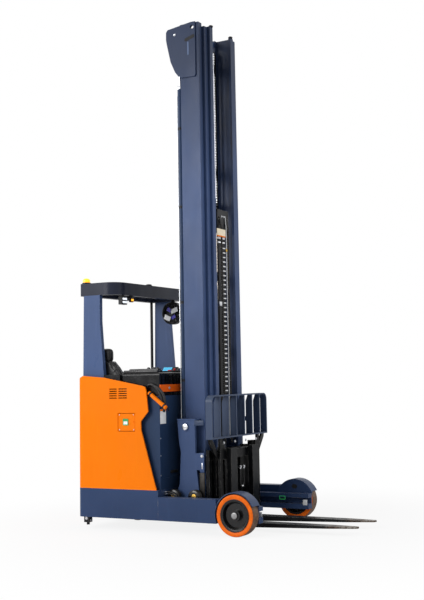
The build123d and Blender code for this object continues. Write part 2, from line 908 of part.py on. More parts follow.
pedal_setback = 258
pedal_pitch = 110
pedal_count = 3
pedal_width = 70
pedal_length = 120
pedal_height = 30
pedal_inset = 52
with BuildPart() as pedals:
    for pedal in range(pedal_count):
        pedal_x = rear_x + pedal_setback + pedal * pedal_pitch
        pedal_end_y = pillar_inner_y - pedal_inset
        block(
            (pedal_x, pedal_x + pedal_width),
            (pedal_end_y - pedal_length, pedal_end_y),
            (deck_top_z, deck_top_z + pedal_height),
        )
save(pedals, "pedals")

# Beacon, work lamp and fan, all on the overhead guard
beacon_inset = 44
beacon_base_radius = 40
beacon_base_height = 14
beacon_radius = 34
beacon_height = 40
with BuildPart() as beacon:
    beacon_x = rear_x + beacon_inset
    beacon_y = -guard_half_width + beacon_inset
    beacon_base_z = guard_top_z + beacon_base_height
    rod((beacon_x, beacon_y, guard_top_z), (beacon_x, beacon_y, beacon_base_z), beacon_base_radius)
    rod(
        (beacon_x, beacon_y, beacon_base_z),
        (beacon_x, beacon_y, beacon_base_z + beacon_height),
        beacon_radius,
    )
save(beacon, "beacon")

lamp_length = 37
lamp_width = 85
lamp_height = 74
lamp_front_inset = 8
lamp_side_inset = 99
lamp_drop = 14
lamp_stem_radius = 12
with BuildPart() as work_lamp:
    lamp_x = (guard_front_x - lamp_front_inset - lamp_length, guard_front_x - lamp_front_inset)
    lamp_y = (-guard_half_width + lamp_side_inset, -guard_half_width + lamp_side_inset + lamp_width)
    lamp_top_z = guard_bottom_z - lamp_drop
    block(lamp_x, lamp_y, (lamp_top_z - lamp_height, lamp_top_z))
    stem_x = sum(lamp_x) / 2
    stem_y = sum(lamp_y) / 2
    rod((stem_x, stem_y, lamp_top_z - lamp_drop), (stem_x, stem_y, guard_bottom_z), lamp_stem_radius)
save(work_lamp, "work_lamp")

fan_front_inset = 30
fan_side_inset = 204
fan_drop = 130
fan_radius = 112
fan_half_depth = 35
fan_bevel = 14
fan_stem_radius = 14
with BuildPart() as fan:
    fan_x = guard_front_x - fan_front_inset
    fan_y = guard_half_width - fan_side_inset
    fan_z = guard_bottom_z - fan_drop
    ring(
        (fan_x, fan_y, fan_z), (0, 1, 0), -fan_half_depth, fan_half_depth, fan_radius, chamfered=fan_bevel
    )
    rod((fan_x, fan_y, fan_z + fan_radius / 2), (fan_x, fan_y, guard_bottom_z), fan_stem_radius)
save(fan, "fan")

# Grab handle on the right front corner
handle_radius = 18
handle_rear_reach = 95
handle_front_reach = 80
handle_gap = 23
handle_top_drop = 6
handle_fall = 132
handle_stub_reach = 75
handle_stub_radius = 14
with BuildPart() as grab_handle:
    handle_y = -cover_half_width - handle_gap
    handle_top_z = bar_bottom_z - handle_top_drop
    handle_start = Vector(hull_front_x - handle_rear_reach, handle_y, handle_top_z)
    handle_end = Vector(hull_front_x + handle_front_reach, handle_y, handle_top_z - handle_fall)
    rod(tuple(handle_start), tuple(handle_end), handle_radius)
    stub_x = hull_front_x - handle_stub_reach
    share = (stub_x - handle_start.X) / (handle_end.X - handle_start.X)
    stub_z = handle_start.Z - share * handle_fall
    rod((stub_x, -cover_half_width, stub_z), (stub_x, handle_y, stub_z), handle_stub_radius)
save(grab_handle, "grab_handle")

# Mast channels: each stage lies inside the one before and a step further
# forward. The columns are the node's name, the channel's width, its lowest
# height and how far its top is below the mast's
mast_stages = (
    ("mast_outer", 60, 150, 4),
    ("mast_middle", 54, 160, 31),
    ("mast_inner", 50, 170, 21),
)
channel_flange = 24
channel_web = 14
mast_roller_radius = channel_depth / 2 - channel_flange - seat_gap
mast_roller_lift = 8
roller_axle_radius = 30
stage_outer_y = [mast_half_width]
for stage_name, width, bottom, below in mast_stages:
    stage_outer_y.append(stage_outer_y[-1] - width - moving_gap)
stage_inner_y = [outer_y - stage[1] for outer_y, stage in zip(stage_outer_y, mast_stages)]
stage_rear_x = [mast_rear_x + number * channel_step for number in range(len(mast_stages))]
stage_top_z = [mast_top_z - stage[3] for stage in mast_stages]

# Ties between the two channels of a stage, in evenly spaced rows. The columns
# are the stage, the tie's height, the lowest and the highest tie's bottom
# and the count. The inner stage has none where the stage pulleys pass
tie_depth = 14
tie_rows = (
    (0, 90, 200, stage_top_z[0] - 342, 5),
    (1, 70, 210, stage_top_z[1] - 285, 4),
    (2, 90, 200, 800, 2),
    (2, 50, stage_top_z[2] - 65, stage_top_z[2] - 65, 1),
)

# Header plates on the outer stage, as distances ahead of the mast's rear and
# below its top
header_thickness = 14
header_outline = (
    (-128, 34),
    (-144, 56),
    (-145, 126),
    (-136, 176),
    (-98, 344),
    (-52, 446),
    (-19, 489),
    (10, 510),
    (158, 514),
    (168, 496),
    (168, 0),
    (120, 0),
)
eye_reach = 135
eye_drop = 49
eye_radius = 20

# Lift cylinders and the pulleys of the stage chains
lift_barrel_radius = 24
lift_rod_radius = 15
lift_gap = 3
lift_inset = 30
lift_rod_drop = 67
lift_bracket_height = 22
lift_bracket_reach = 45
lift_bracket_inner_y = 240
lift_bracket_width = 37
lift_bracket_cap = 19
stage_pulley_radius = 50
stage_pulley_ahead = 35
stage_pulley_drop = 150
stage_chain_y = 145
chain_width = 30
chain_thickness = 14
pulley_pin_radius = 10
cheek_thickness = 6
cheek_gap = 5
cheek_length = 155
cheek_rise = 20
cheek_stand = 4
lift_x = mast_rear_x - lift_barrel_radius - lift_gap
lift_y = mast_half_width - lift_inset
stage_pulley_x = mast_rear_x + stage_pulley_ahead
stage_pulley_z = stage_top_z[1] - stage_pulley_drop
bracket_z = stage_top_z[1] - lift_rod_drop


def mast_rollers(stage):
    """Rollers at a stage's foot, which run in the channels round it."""
    centre = (
        stage_rear_x[stage - 1] + channel_depth / 2,
        0,
        mast_stages[stage][2] + mast_roller_radius + mast_roller_lift,
    )
    outer_y = stage_outer_y[stage]
    roller_start = outer_y + moving_gap + 1
    roller_end = stage_outer_y[stage - 1] - channel_web - moving_gap + 1
    for side in (-1, 1):
        ring(centre, (0, side, 0), outer_y, roller_start, roller_axle_radius)
        ring(centre, (0, side, 0), roller_start, roller_end, mast_roller_radius)


def stage_ties(stage):
    """The plates that join the two channels of a stage at its rear."""
    rear = stage_rear_x[stage]
    inner_y = stage_inner_y[stage]
    for tie_stage, tie_height, lowest, highest, count in tie_rows:
        if tie_stage != stage:
            continue
        for number in range(count):
            tie_z = lowest + number * (highest - lowest) / max(count - 1, 1)
            block((rear, rear + tie_depth), (-inner_y, inner_y), (tie_z, tie_z + tie_height))


def header_plates():
    """The plates at the mast's head, each with a lifting eye."""
    eye_x = mast_rear_x + eye_reach
    eye_z = mast_top_z - eye_drop
    outline = [(mast_rear_x + ahead, mast_top_z - below) for ahead, below in header_outline]
    for side in (-1, 1):
        header_y = mast_half_width + header_thickness
        side_prism(outline, side * mast_half_width, side * header_y)
        rod(
            (eye_x, side * (mast_half_width - channel_web), eye_z),
            (eye_x, side * header_y, eye_z),
            eye_radius,
            Mode.SUBTRACT,
        )


def stage_brackets():
    """What the middle stage's head carries: rod brackets, cheeks and pulley pins."""
    bracket_rear_x = mast_rear_x - lift_bracket_reach
    bracket_heights = (bracket_z, bracket_z + lift_bracket_height)
    for side in (-1, 1):
        block(
            (bracket_rear_x, stage_rear_x[1]),
            (side * lift_bracket_inner_y, side * (stage_outer_y[1] - 1)),
            bracket_heights,
        )
        block(
            (bracket_rear_x, bracket_rear_x + lift_bracket_width),
            (side * lift_bracket_inner_y, side * (lift_y + lift_bracket_cap)),
            bracket_heights,
        )
        for cheek in (-1, 1):
            cheek_y = stage_chain_y + cheek * (chain_width / 2 + cheek_gap)
            block(
                (stage_pulley_x - lift_rod_radius, stage_rear_x[1] + tie_depth + cheek_stand),
                (side * (cheek_y - cheek_thickness / 2), side * (cheek_y + cheek_thickness / 2)),
                (stage_pulley_z + cheek_rise - cheek_length, stage_pulley_z + cheek_rise),
            )
        pin_reach = chain_width / 2 + cheek_gap + cheek_thickness
        rod(
            (stage_pulley_x, side * (stage_chain_y - pin_reach), stage_pulley_z),
            (stage_pulley_x, side * (stage_chain_y + pin_reach), stage_pulley_z),
            pulley_pin_radius,
        )


for stage, (stage_name, width, bottom, below) in enumerate(mast_stages):
    rear = stage_rear_x[stage]
    front = rear + channel_depth
    outer_y = stage_outer_y[stage]
    inner_y = stage_inner_y[stage]
    top = stage_top_z[stage]
    with BuildPart() as mast:
        for side in (-1, 1):
            block((rear, front), (side * inner_y, side * outer_y), (bottom, top))
            block(
                (rear + channel_flange, front - channel_flange),
                (side * inner_y, side * (outer_y - channel_web)),
                (bottom, top),
                Mode.SUBTRACT,
            )
        if stage > 0:
            mast_rollers(stage)
        if stage == 0:
            header_plates()
        if stage == 1:
            stage_ties(stage)
            stage_brackets()
    save(mast, stage_name)
    if stage != 1:
        with BuildPart() as mast_ties:
            stage_ties(stage)
        save(mast_ties, f"{stage_name}_ties")

# Reach carriage heights, which the lift cylinders stand on
reach_bottom_z = 150
reach_height = 800
reach_beam_below = 16
reach_beam_height = 124
reach_top_z = reach_bottom_z + reach_height
reach_beam_bottom_z = reach_bottom_z - reach_beam_below
reach_beam_top_z = reach_beam_bottom_z + reach_beam_height

# Lift cylinders behind the outer channels, and their rods
lift_barrel_drop = 576
lift_barrel_floor = 42
lift_rod_lift = 10
with BuildPart() as lift_cylinders:
    barrel_top_z = mast_top_z - lift_barrel_drop
    bore_bottom_z = reach_beam_top_z + lift_barrel_floor
    for side in (-1, 1):
        centre = (lift_x, side * lift_y, 0)
        ring(centre, UP, reach_beam_top_z, barrel_top_z, lift_barrel_radius)
        lift_bore = lift_rod_radius + pin_clearance
        ring(centre, UP, bore_bottom_z, barrel_top_z, lift_bore, mode=Mode.SUBTRACT)
save(lift_cylinders, "lift_cylinders")

with BuildPart() as lift_rods:
    for side in (-1, 1):
        ring((lift_x, side * lift_y, 0), UP, bore_bottom_z + lift_rod_lift, bracket_z, lift_rod_radius)
save(lift_rods, "lift_rods")

# Stage chains over the middle mast's pulleys
front_strand_z = 420
rear_strand_z = 1450
with BuildPart() as stage_chains:
    for side in (-1, 1):
        strand_y = (side * (stage_chain_y - chain_width / 2), side * (stage_chain_y + chain_width / 2))
        strand = stage_pulley_radius + chain_thickness / 2
        ring(
            (stage_pulley_x, 0, stage_pulley_z),
            (0, side, 0),
            stage_chain_y - chain_width / 2,
            stage_chain_y + chain_width / 2,
            strand,
            pulley_pin_radius + pin_clearance,
        )
        front = stage_pulley_x + strand
        rear = stage_pulley_x - strand
        block((front - chain_thickness, front), strand_y, (front_strand_z, stage_pulley_z))
        block((rear, rear + chain_thickness), strand_y, (rear_strand_z, stage_pulley_z))
save(stage_chains, "stage_chains")

# Free-lift cylinder in the middle, its head and the carriage chains
free_reach = 180
free_barrel_radius = 32
free_rod_radius = 20
free_collar = 8
free_barrel_top_z = 2650
free_bottom_z = 205
free_bore_bottom_z = 250
foot_half_width = 45
foot_plate_z = (200, 216)
steady_half_width = 22
steady_z = (820, 860)
head_gap = 22
head_height = 188
head_half_width = 100
head_half_depth = 42
free_pulley_radius = 55
free_chain_y = 60
free_chain_thickness = 7
free_rod_lift = 12
free_front_strand_z = 724
free_rear_strand_z = 1300
free_x = mast_rear_x + free_reach
head_bottom_z = free_barrel_top_z + head_gap
head_pulley_z = head_bottom_z + head_height / 2
with BuildPart() as free_cylinder:
    free_bore = free_rod_radius + pin_clearance
    ring((free_x, 0, 0), UP, free_bottom_z, free_barrel_top_z, free_barrel_radius)
    ring((free_x, 0, 0), UP, *steady_z, free_barrel_radius + free_collar)
    inner_tie_front = stage_rear_x[2] + tie_depth
    block((inner_tie_front, free_x + free_barrel_radius), (-foot_half_width, foot_half_width), foot_plate_z)
    block((inner_tie_front, free_x), (-steady_half_width, steady_half_width), steady_z)
    ring((free_x, 0, 0), UP, free_bore_bottom_z, free_barrel_top_z, free_bore, mode=Mode.SUBTRACT)
save(free_cylinder, "free_cylinder")

with BuildPart() as free_head:
    ring((free_x, 0, 0), UP, free_bore_bottom_z + free_rod_lift, head_bottom_z, free_rod_radius)
    block(
        (free_x - head_half_depth, free_x + head_half_depth),
        (-head_half_width, head_half_width),
        (head_bottom_z, head_bottom_z + head_height),
    )
    for side in (-1, 1):
        ring(
            (free_x, 0, head_pulley_z),
            (0, side, 0),
            free_chain_y - chain_width / 2,
            free_chain_y + chain_width / 2,
            free_pulley_radius,
        )
save(free_head, "free_head")

with BuildPart() as carriage_chains:
    for side in (-1, 1):
        strand_y = (side * (free_chain_y - chain_width / 2), side * (free_chain_y + chain_width / 2))
        front = free_x + free_pulley_radius
        rear = free_x - free_pulley_radius
        block((front, front + free_chain_thickness), strand_y, (free_front_strand_z, head_pulley_z))
        block((rear - free_chain_thickness, rear), strand_y, (free_rear_strand_z, head_pulley_z))
save(carriage_chains, "carriage_chains")

# Reach carriage: side plates, rear beam, seats and pins for the mast, roller
# axles. The outline's columns are the distance ahead of the mast's rear and
# the height above the plate's bottom
reach_outline = (
    (-57, 0),
    (240, 0),
    (240, 112),
    (180, 180),
    (150, 410),
    (146, 523),
    (141, 800),
    (-35, 800),
    (-20, 610),
    (-3, 523),
    (-18, 250),
    (-57, 150),
)
reach_rear_x = mast_rear_x + reach_outline[0][0]
reach_cap_x = (-35, 150)
reach_cap_height = 12
reach_cap_lip = 3
mast_seat_thickness = 16
mast_seat_height = 76
mast_pin_reach = 47
mast_pin_drop = 59
mast_pin_radius = 35
mast_pin_stand = 10
side_arm_x = (140, 230)
side_arm_z = (520, 665)
side_arm_inset = 7
reach_roller_radius = 57.5
reach_roller_width = 46
reach_roller_inset = 12
reach_roller_ahead = (-40, 170)
reach_roller_bevel = 4
reach_axle_radius = 14
reach_axle_end = 4
roller_rest_gap = 0.5
roller_z = rail_top_z + roller_rest_gap + reach_roller_radius
roller_inner_y = rail_inner_y + reach_roller_inset
roller_outer_y = roller_inner_y + reach_roller_width
with BuildPart() as reach_frame:
    outline = [(mast_rear_x + ahead, reach_bottom_z + above) for ahead, above in reach_outline]
    seat_top_z = mast_stages[0][2]
    for side in (-1, 1):
        side_prism(outline, side * reach_plate_inner_y, side * reach_plate_outer_y)
        block(
            (mast_rear_x + reach_cap_x[0], mast_rear_x + reach_cap_x[1]),
            (side * mast_half_width, side * (reach_plate_outer_y + reach_cap_lip)),
            (reach_top_z, reach_top_z + reach_cap_height),
        )
        # Seat under the outer channel, turned up along the side plate
        block(
            (mast_rear_x, mast_rear_x + channel_depth),
            (side * stage_inner_y[0], side * reach_plate_inner_y),
            (seat_top_z - mast_seat_thickness, seat_top_z),
        )
        block(
            (mast_rear_x, mast_rear_x + channel_depth),
            (side * (reach_plate_inner_y - mast_seat_thickness), side * reach_plate_inner_y),
            (seat_top_z - mast_seat_thickness, seat_top_z - mast_seat_thickness + mast_seat_height),
        )
        pin_x = mast_rear_x + mast_pin_reach
        pin_z = reach_top_z - mast_pin_drop
        rod(
            (pin_x, side * mast_half_width, pin_z),
            (pin_x, side * (reach_plate_outer_y + mast_pin_stand), pin_z),
            mast_pin_radius,
        )
        block(
            (mast_rear_x + side_arm_x[0], mast_rear_x + side_arm_x[1]),
            (side * (reach_plate_inner_y + side_arm_inset), side * reach_plate_outer_y),
            side_arm_z,
        )
        for ahead in reach_roller_ahead:
            rod(
                (mast_rear_x + ahead, side * reach_plate_outer_y, roller_z),
                (mast_rear_x + ahead, side * (roller_outer_y + reach_axle_end), roller_z),
                reach_axle_radius,
            )
    block(
        (reach_rear_x, mast_rear_x),
        (-reach_plate_inner_y, reach_plate_inner_y),
        (reach_beam_bottom_z, reach_beam_top_z),
    )
save(reach_frame, "reach_frame")

with BuildPart() as reach_rollers:
    for side in (-1, 1):
        for ahead in reach_roller_ahead:
            ring(
                (mast_rear_x + ahead, 0, roller_z),
                (0, side, 0),
                roller_inner_y,
                roller_outer_y,
                reach_roller_radius,
                reach_axle_radius + pin_clearance,
                reach_roller_bevel,
            )
save(reach_rollers, "reach_rollers")

# Fork carriage: bars across the front, side bars with rollers inside the mast
carriage_bottom_z = 115
carriage_height = 575
carriage_half_width = 430
carriage_end_width = 34
lower_bar_height = 85
upper_bar_height = 90
runner_depth = 145
runner_width = 30
runner_gap = 10
runner_top_gap = 40
runner_roller_z = (200, 560)
runner_lip = 5
carriage_top_z = carriage_bottom_z + carriage_height
with BuildPart() as fork_carriage:
    bar_x = (carriage_rear_x, carriage_front_x)
    lower_bar_z = (carriage_bottom_z, carriage_bottom_z + lower_bar_height)
    upper_bar_z = (carriage_top_z - upper_bar_height, carriage_top_z)
    for bar_z in (lower_bar_z, upper_bar_z):
        block(bar_x, (-carriage_half_width, carriage_half_width), bar_z)
    runner_outer_y = stage_inner_y[2] - runner_gap
    roller_start_y = stage_inner_y[2] + runner_lip
    roller_end_y = stage_outer_y[2] - channel_web - moving_gap + 1
    for side in (-1, 1):
        block(
            bar_x,
            (side * (carriage_half_width - carriage_end_width), side * carriage_half_width),
            (carriage_bottom_z, carriage_top_z),
        )
        block(
            (carriage_rear_x - runner_depth, carriage_front_x),
            (side * (runner_outer_y - runner_width), side * runner_outer_y),
            (carriage_bottom_z, carriage_top_z - runner_top_gap),
        )
        for z in runner_roller_z:
            centre = (stage_rear_x[2] + channel_depth / 2, 0, z)
            ring(centre, (0, side, 0), runner_outer_y, roller_start_y, roller_axle_radius)
            ring(centre, (0, side, 0), roller_start_y, roller_end_y, mast_roller_radius)
save(fork_carriage, "fork_carriage")

# Side-shift frame, running on the carriage's bars
shift_half_width = 365
shift_end_width = 40
shift_lower_plate = 24
shift_upper_z = (612, 688)
shift_lower_z = (130, 200)
tilt_pin_reach = 34
tilt_pin_z = 716
tilt_pin_radius = 12
tilt_pin_y = (255, 318)
shift_lug_y = (262, 286)
lug_front = 20
lug_rise = 20
hook_y = (180, 240)
hook_thickness = 14
hook_depth = 12
hook_bottom_z = 640
tilt_pin_x = shift_rear_x + tilt_pin_reach
with BuildPart() as shift_frame:
    upper_x = (shift_rear_x, shift_rear_x + shift_plate)
    lower_x = (shift_rear_x, shift_rear_x + shift_lower_plate)
    block(upper_x, (-shift_half_width, shift_half_width), shift_upper_z)
    block(lower_x, (-shift_half_width, shift_half_width), shift_lower_z)
    for side in (-1, 1):
        block(
            lower_x,
            (side * (shift_half_width - shift_end_width), side * shift_half_width),
            (shift_lower_z[0], shift_upper_z[1]),
        )
        block(
            (shift_rear_x, tilt_pin_x + lug_front),
            (side * shift_lug_y[0], side * shift_lug_y[1]),
            (shift_upper_z[1], tilt_pin_z + lug_rise),
        )
        rod(
            (tilt_pin_x, side * tilt_pin_y[0], tilt_pin_z),
            (tilt_pin_x, side * tilt_pin_y[1], tilt_pin_z),
            tilt_pin_radius,
        )
        # Hook over the carriage's upper bar
        side_hook = (side * hook_y[0], side * hook_y[1])
        block(
            (carriage_rear_x, shift_rear_x + hook_depth),
            side_hook,
            (carriage_top_z + seat_gap, carriage_top_z + hook_thickness),
        )
        block(
            (shift_rear_x, shift_rear_x + hook_depth),
            side_hook,
            (hook_bottom_z, carriage_top_z + hook_thickness),
        )
save(shift_frame, "shift_frame")

# Fork holder: tilts on the side-shift frame and carries forks and backrest
holder_upper_z = (606, 684)
holder_lower_z = (130, 205)
holder_lower_plate = 20
holder_lug_y = (290, 312)
holder_lug_rear = 18
holder_lug_below = 22
holder_web_y = (290, 330)
backrest_bottom_z = 788
with BuildPart() as fork_holder:
    upper_x = (holder_rear_x, fork_shank_x)
    lower_x = (fork_shank_x - holder_lower_plate, fork_shank_x)
    block(upper_x, (-shift_half_width, shift_half_width), holder_upper_z)
    block(lower_x, (-shift_half_width, shift_half_width), holder_lower_z)
    for side in (-1, 1):
        block(
            lower_x,
            (side * (shift_half_width - shift_end_width), side * shift_half_width),
            (holder_lower_z[0], backrest_bottom_z),
        )
        block(
            (tilt_pin_x - holder_lug_rear, fork_shank_x),
            (side * holder_lug_y[0], side * holder_lug_y[1]),
            (tilt_pin_z - holder_lug_below, tilt_pin_z + lug_rise),
        )
        block(
            lower_x,
            (side * holder_web_y[0], side * holder_web_y[1]),
            (holder_upper_z[1] - 4, tilt_pin_z + lug_rise),
        )
        rod(
            (tilt_pin_x, side * holder_lug_y[0], tilt_pin_z),
            (tilt_pin_x, side * holder_lug_y[1], tilt_pin_z),
            tilt_pin_radius + pin_clearance,
            Mode.SUBTRACT,
        )
save(fork_holder, "fork_holder")

# Load backrest: a bent flat bar with upright slats
backrest_half_width = 515
backrest_height = 377
backrest_stand = 10
backrest_depth = 65
backrest_bar = 12
backrest_corner = 60
backrest_slats = 6
slat_width = 14
slat_inset = 2
slat_lean = 25
slat_lean_height = 68
backrest_front_x = fork_shank_x + backrest_stand
backrest_rear_x = backrest_front_x - backrest_depth
backrest_top_z = backrest_bottom_z + backrest_height
with BuildPart() as backrest:
    with BuildSketch(Plane.YZ.offset(backrest_rear_x)) as frame_outline:
        with Locations((0, backrest_bottom_z + backrest_height / 2)):
            Rectangle(2 * backrest_half_width, backrest_height)
        fillet(frame_outline.vertices().group_by(Axis.Y)[-1], backrest_corner)
        offset(amount=-backrest_bar, mode=Mode.SUBTRACT)
    extrude(frame_outline.sketch, amount=backrest_depth)
    slat_pitch = 2 * backrest_half_width / (backrest_slats + 1)
    slat_bottom_z = backrest_bottom_z + slat_inset
    slat_top_z = backrest_top_z - slat_inset
    for slat in range(backrest_slats):
        slat_y = -backrest_half_width + (slat + 1) * slat_pitch
        side_prism(
            [
                (backrest_rear_x, slat_bottom_z),
                (backrest_front_x, slat_bottom_z),
                (backrest_front_x, slat_top_z),
                (backrest_rear_x + slat_lean, slat_top_z),
                (backrest_rear_x, slat_top_z - slat_lean_height),
            ],
            slat_y - slat_width / 2,
            slat_y + slat_width / 2,
        )
save(backrest, "backrest")

# Forks: a shank on the holder and a level blade that thins towards its tip
fork_y = 200
fork_width = 110
fork_thickness = 45
fork_face_z = 70
fork_tip_thickness = 12
fork_shank_height = 675
fork_heel_length = 135
fork_taper = 260
fork_nose = 15
fork_nose_half = 28
fork_bottom_z = fork_face_z - fork_thickness
fork_top_z = fork_bottom_z + fork_shank_height


def fork_plan(side):
    """The fork's outline from above, narrowing to a rounded tip."""
    inner_y = side * (fork_y - fork_width / 2)
    outer_y = side * (fork_y + fork_width / 2)
    return [
        (fork_shank_x, inner_y),
        (fork_tip_x - fork_taper, inner_y),
        (fork_tip_x - fork_nose, side * (fork_y - fork_nose_half)),
        (fork_tip_x, side * fork_y),
        (fork_tip_x - fork_nose, side * (fork_y + fork_nose_half)),
        (fork_tip_x - fork_taper, outer_y),
        (fork_shank_x, outer_y),
    ]


for name, side in SIDES:
    with BuildPart() as fork:
        side_prism(
            [
                (fork_shank_x, fork_bottom_z),
                (fork_shank_x + fork_heel_length, fork_bottom_z),
                (fork_tip_x, fork_face_z - fork_tip_thickness),
                (fork_tip_x, fork_face_z),
                (fork_shank_x + fork_thickness, fork_face_z),
                (fork_shank_x + fork_thickness, fork_top_z),
                (fork_shank_x, fork_top_z),
            ],
            side * (fork_y - fork_width / 2),
            side * (fork_y + fork_width / 2),
        )
        with BuildSketch(Plane.XY.offset(fork_bottom_z)) as plan:
            with BuildLine():
                Polyline(*fork_plan(side), close=True)
            make_face()
        extrude(plan.sketch, amount=fork_top_z - fork_bottom_z, mode=Mode.INTERSECT)
    save(fork, f"fork_{name}")
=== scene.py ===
import math

import bmesh
import bpy
from mathutils import Matrix, Vector


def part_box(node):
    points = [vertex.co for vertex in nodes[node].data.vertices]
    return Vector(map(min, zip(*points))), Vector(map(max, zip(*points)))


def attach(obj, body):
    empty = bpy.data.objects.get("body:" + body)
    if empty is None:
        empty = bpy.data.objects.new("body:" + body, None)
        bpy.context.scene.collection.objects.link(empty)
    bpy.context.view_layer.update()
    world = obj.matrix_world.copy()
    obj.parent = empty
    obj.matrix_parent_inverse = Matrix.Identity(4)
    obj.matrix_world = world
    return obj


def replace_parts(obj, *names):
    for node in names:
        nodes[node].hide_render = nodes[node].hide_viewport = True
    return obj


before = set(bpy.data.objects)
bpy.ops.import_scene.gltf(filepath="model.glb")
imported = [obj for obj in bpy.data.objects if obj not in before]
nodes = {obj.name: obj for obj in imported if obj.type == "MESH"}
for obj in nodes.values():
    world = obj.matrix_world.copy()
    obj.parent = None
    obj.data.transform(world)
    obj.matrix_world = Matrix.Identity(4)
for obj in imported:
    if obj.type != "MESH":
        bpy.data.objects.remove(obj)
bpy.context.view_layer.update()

# Shapes

WAYS = {"+X": Vector((1, 0, 0)), "+Y": Vector((0, 1, 0))}


class Shape:
    """Collects the faces of one piece, then makes it and hangs it on its body."""

    def __init__(self):
        self.mesh = bmesh.new()

    def round(self, edges, bevel, steps):
        """Rounds some edges."""
        bmesh.ops.bevel(self.mesh, geom=edges, offset=bevel, segments=steps, profile=0.5, affect="EDGES")

    def box(self, low, high, bevel=0.0, steps=2, turn=None):
        """A block between two corners; turn is (angle, axis) about its middle."""
        low, high = Vector(low), Vector(high)
        place = Matrix.Translation((low + high) / 2)
        if turn:
            place = place @ Matrix.Rotation(math.radians(turn[0]), 4, turn[1])
        place = place @ Matrix.Diagonal((*(high - low), 1.0))
        made = bmesh.ops.create_cube(self.mesh, size=1.0, matrix=place)
        if bevel:
            edges = list({edge for vert in made["verts"] for edge in vert.link_edges})
            self.round(edges, bevel, steps)
        return self

    def prism(self, outline, axis, low, high, bevel=0.0):
        """A flat outline, pushed along X or Y; its corners are on the other two axes in order."""
        rings = []
        for level in (low, high):
            spots = [(level, a, b) if axis == "X" else (a, level, b) for a, b in outline]
            rings.append([self.mesh.verts.new(spot) for spot in spots])
        ends = [self.mesh.faces.new(rings[0]), self.mesh.faces.new(rings[1][::-1])]
        for i in range(len(outline)):
            j = (i + 1) % len(outline)
            self.mesh.faces.new((rings[0][j], rings[0][i], rings[1][i], rings[1][j]))
        if bevel:
            edges = list({edge for face in ends for edge in face.edges})
            self.round(edges, bevel, 2)
        return self

    def lathe(self, profile, centre, axis="Z", steps=48, closed=False, place=None):
        """A profile of (radius, along) points turned about an axis through a centre."""
        centre = Vector(centre)
        lines = []
        for i in range(steps):
            angle = 2 * math.pi * i / steps
            across, up = math.cos(angle), math.sin(angle)
            line = []
            for radius, along in profile:
                spot = {
                    "X": (along, radius * across, radius * up),
                    "Y": (radius * across, along, radius * up),
                    "Z": (radius * across, radius * up, along),
                }[axis]
                spot = centre + Vector(spot)
                line.append(self.mesh.verts.new(place @ spot if place else spot))
            lines.append(line)
        last = len(profile) if closed else len(profile) - 1
        for i in range(steps):
            first, second = lines[i], lines[(i + 1) % steps]
            for k in range(last):
                m = (k + 1) % len(profile)
                self.mesh.faces.new((first[k], second[k], second[m], first[m]))
        return self

    def rod(self, start, end, radius, sides=20, bevel=0.0):
        """A round bar between two points, its rims rounded."""
        start, end = Vector(start), Vector(end)
        length = (end - start).length
        edge = min(bevel, radius * 0.5, length * 0.4)
        profile = [(0.0, 0.0), (radius - edge, 0.0), (radius, edge)]
        profile += [(radius, length - edge), (radius - edge, length), (0.0, length)]
        turn = Vector((0, 0, 1)).rotation_difference(end - start).to_matrix().to_4x4()
        return self.lathe(profile, (0, 0, 0), "Z", sides, False, Matrix.Translation(start) @ turn)

    def rods(self, spots, way, radius, sides=20, bevel=0.001):
        """Equal bars that start at some spots and all go one way."""
        for spot in spots:
            self.rod(spot, Vector(spot) + Vector(way), radius, sides, bevel)
        return self

    def tube(self, points, radius, sides=12, ribs=None):
        """A tube on a line of points; ribs is (pitch, depth) for a corrugated hose."""
        points = [Vector(point) for point in points]
        lift = None
        travelled = 0.0
        rings = []
        for i, point in enumerate(points):
            before = points[max(i - 1, 0)]
            after = points[min(i + 1, len(points) - 1)]
            ahead = (after - before).normalized()
            if lift is None:
                lift = ahead.orthogonal().normalized()
            else:
                lift = (lift - ahead * lift.dot(ahead)).normalized()
                travelled += (point - points[i - 1]).length
            side = ahead.cross(lift)
            size = radius
            if ribs:
                size = radius - ribs[1] * (0.5 - 0.5 * math.cos(2 * math.pi * travelled / ribs[0]))
            ring = []
            for k in range(sides):
                angle = 2 * math.pi * k / sides
                spot = point + size * (math.cos(angle) * lift + math.sin(angle) * side)
                ring.append(self.mesh.verts.new(spot))
            rings.append(ring)
        for first, second in zip(rings, rings[1:]):
            for k in range(sides):
                m = (k + 1) % sides
                self.mesh.faces.new((first[k], first[m], second[m], second[k]))
        self.mesh.faces.new(rings[0][::-1])
        self.mesh.faces.new(rings[-1])
        return self

    def bolt(self, centre, axis, radius=0.009, height=0.006):
        """A hexagon bolt head on a washer, standing out along +X or +Y."""
        way = WAYS[axis]
        centre = Vector(centre)
        self.rod(centre, centre + way * height * 0.3, radius * 1.35, 20, 0.0006)
        return self.rod(centre + way * height * 0.25, centre + way * height, radius, 6, height * 0.14)

    def side(self, sign):
        """Puts what is drawn for the left side on the side of the sign."""
        for vert in self.mesh.verts:
            vert.co.y *= sign
        return self

    def both(self):
        """Adds the mirror image of all so far, on the truck's other side."""
        drawn = self.mesh.verts[:] + self.mesh.edges[:] + self.mesh.faces[:]
        for item in bmesh.ops.duplicate(self.mesh, geom=drawn)["geom"]:
            if isinstance(item, bmesh.types.BMVert):
                item.co.y = -item.co.y
        return self

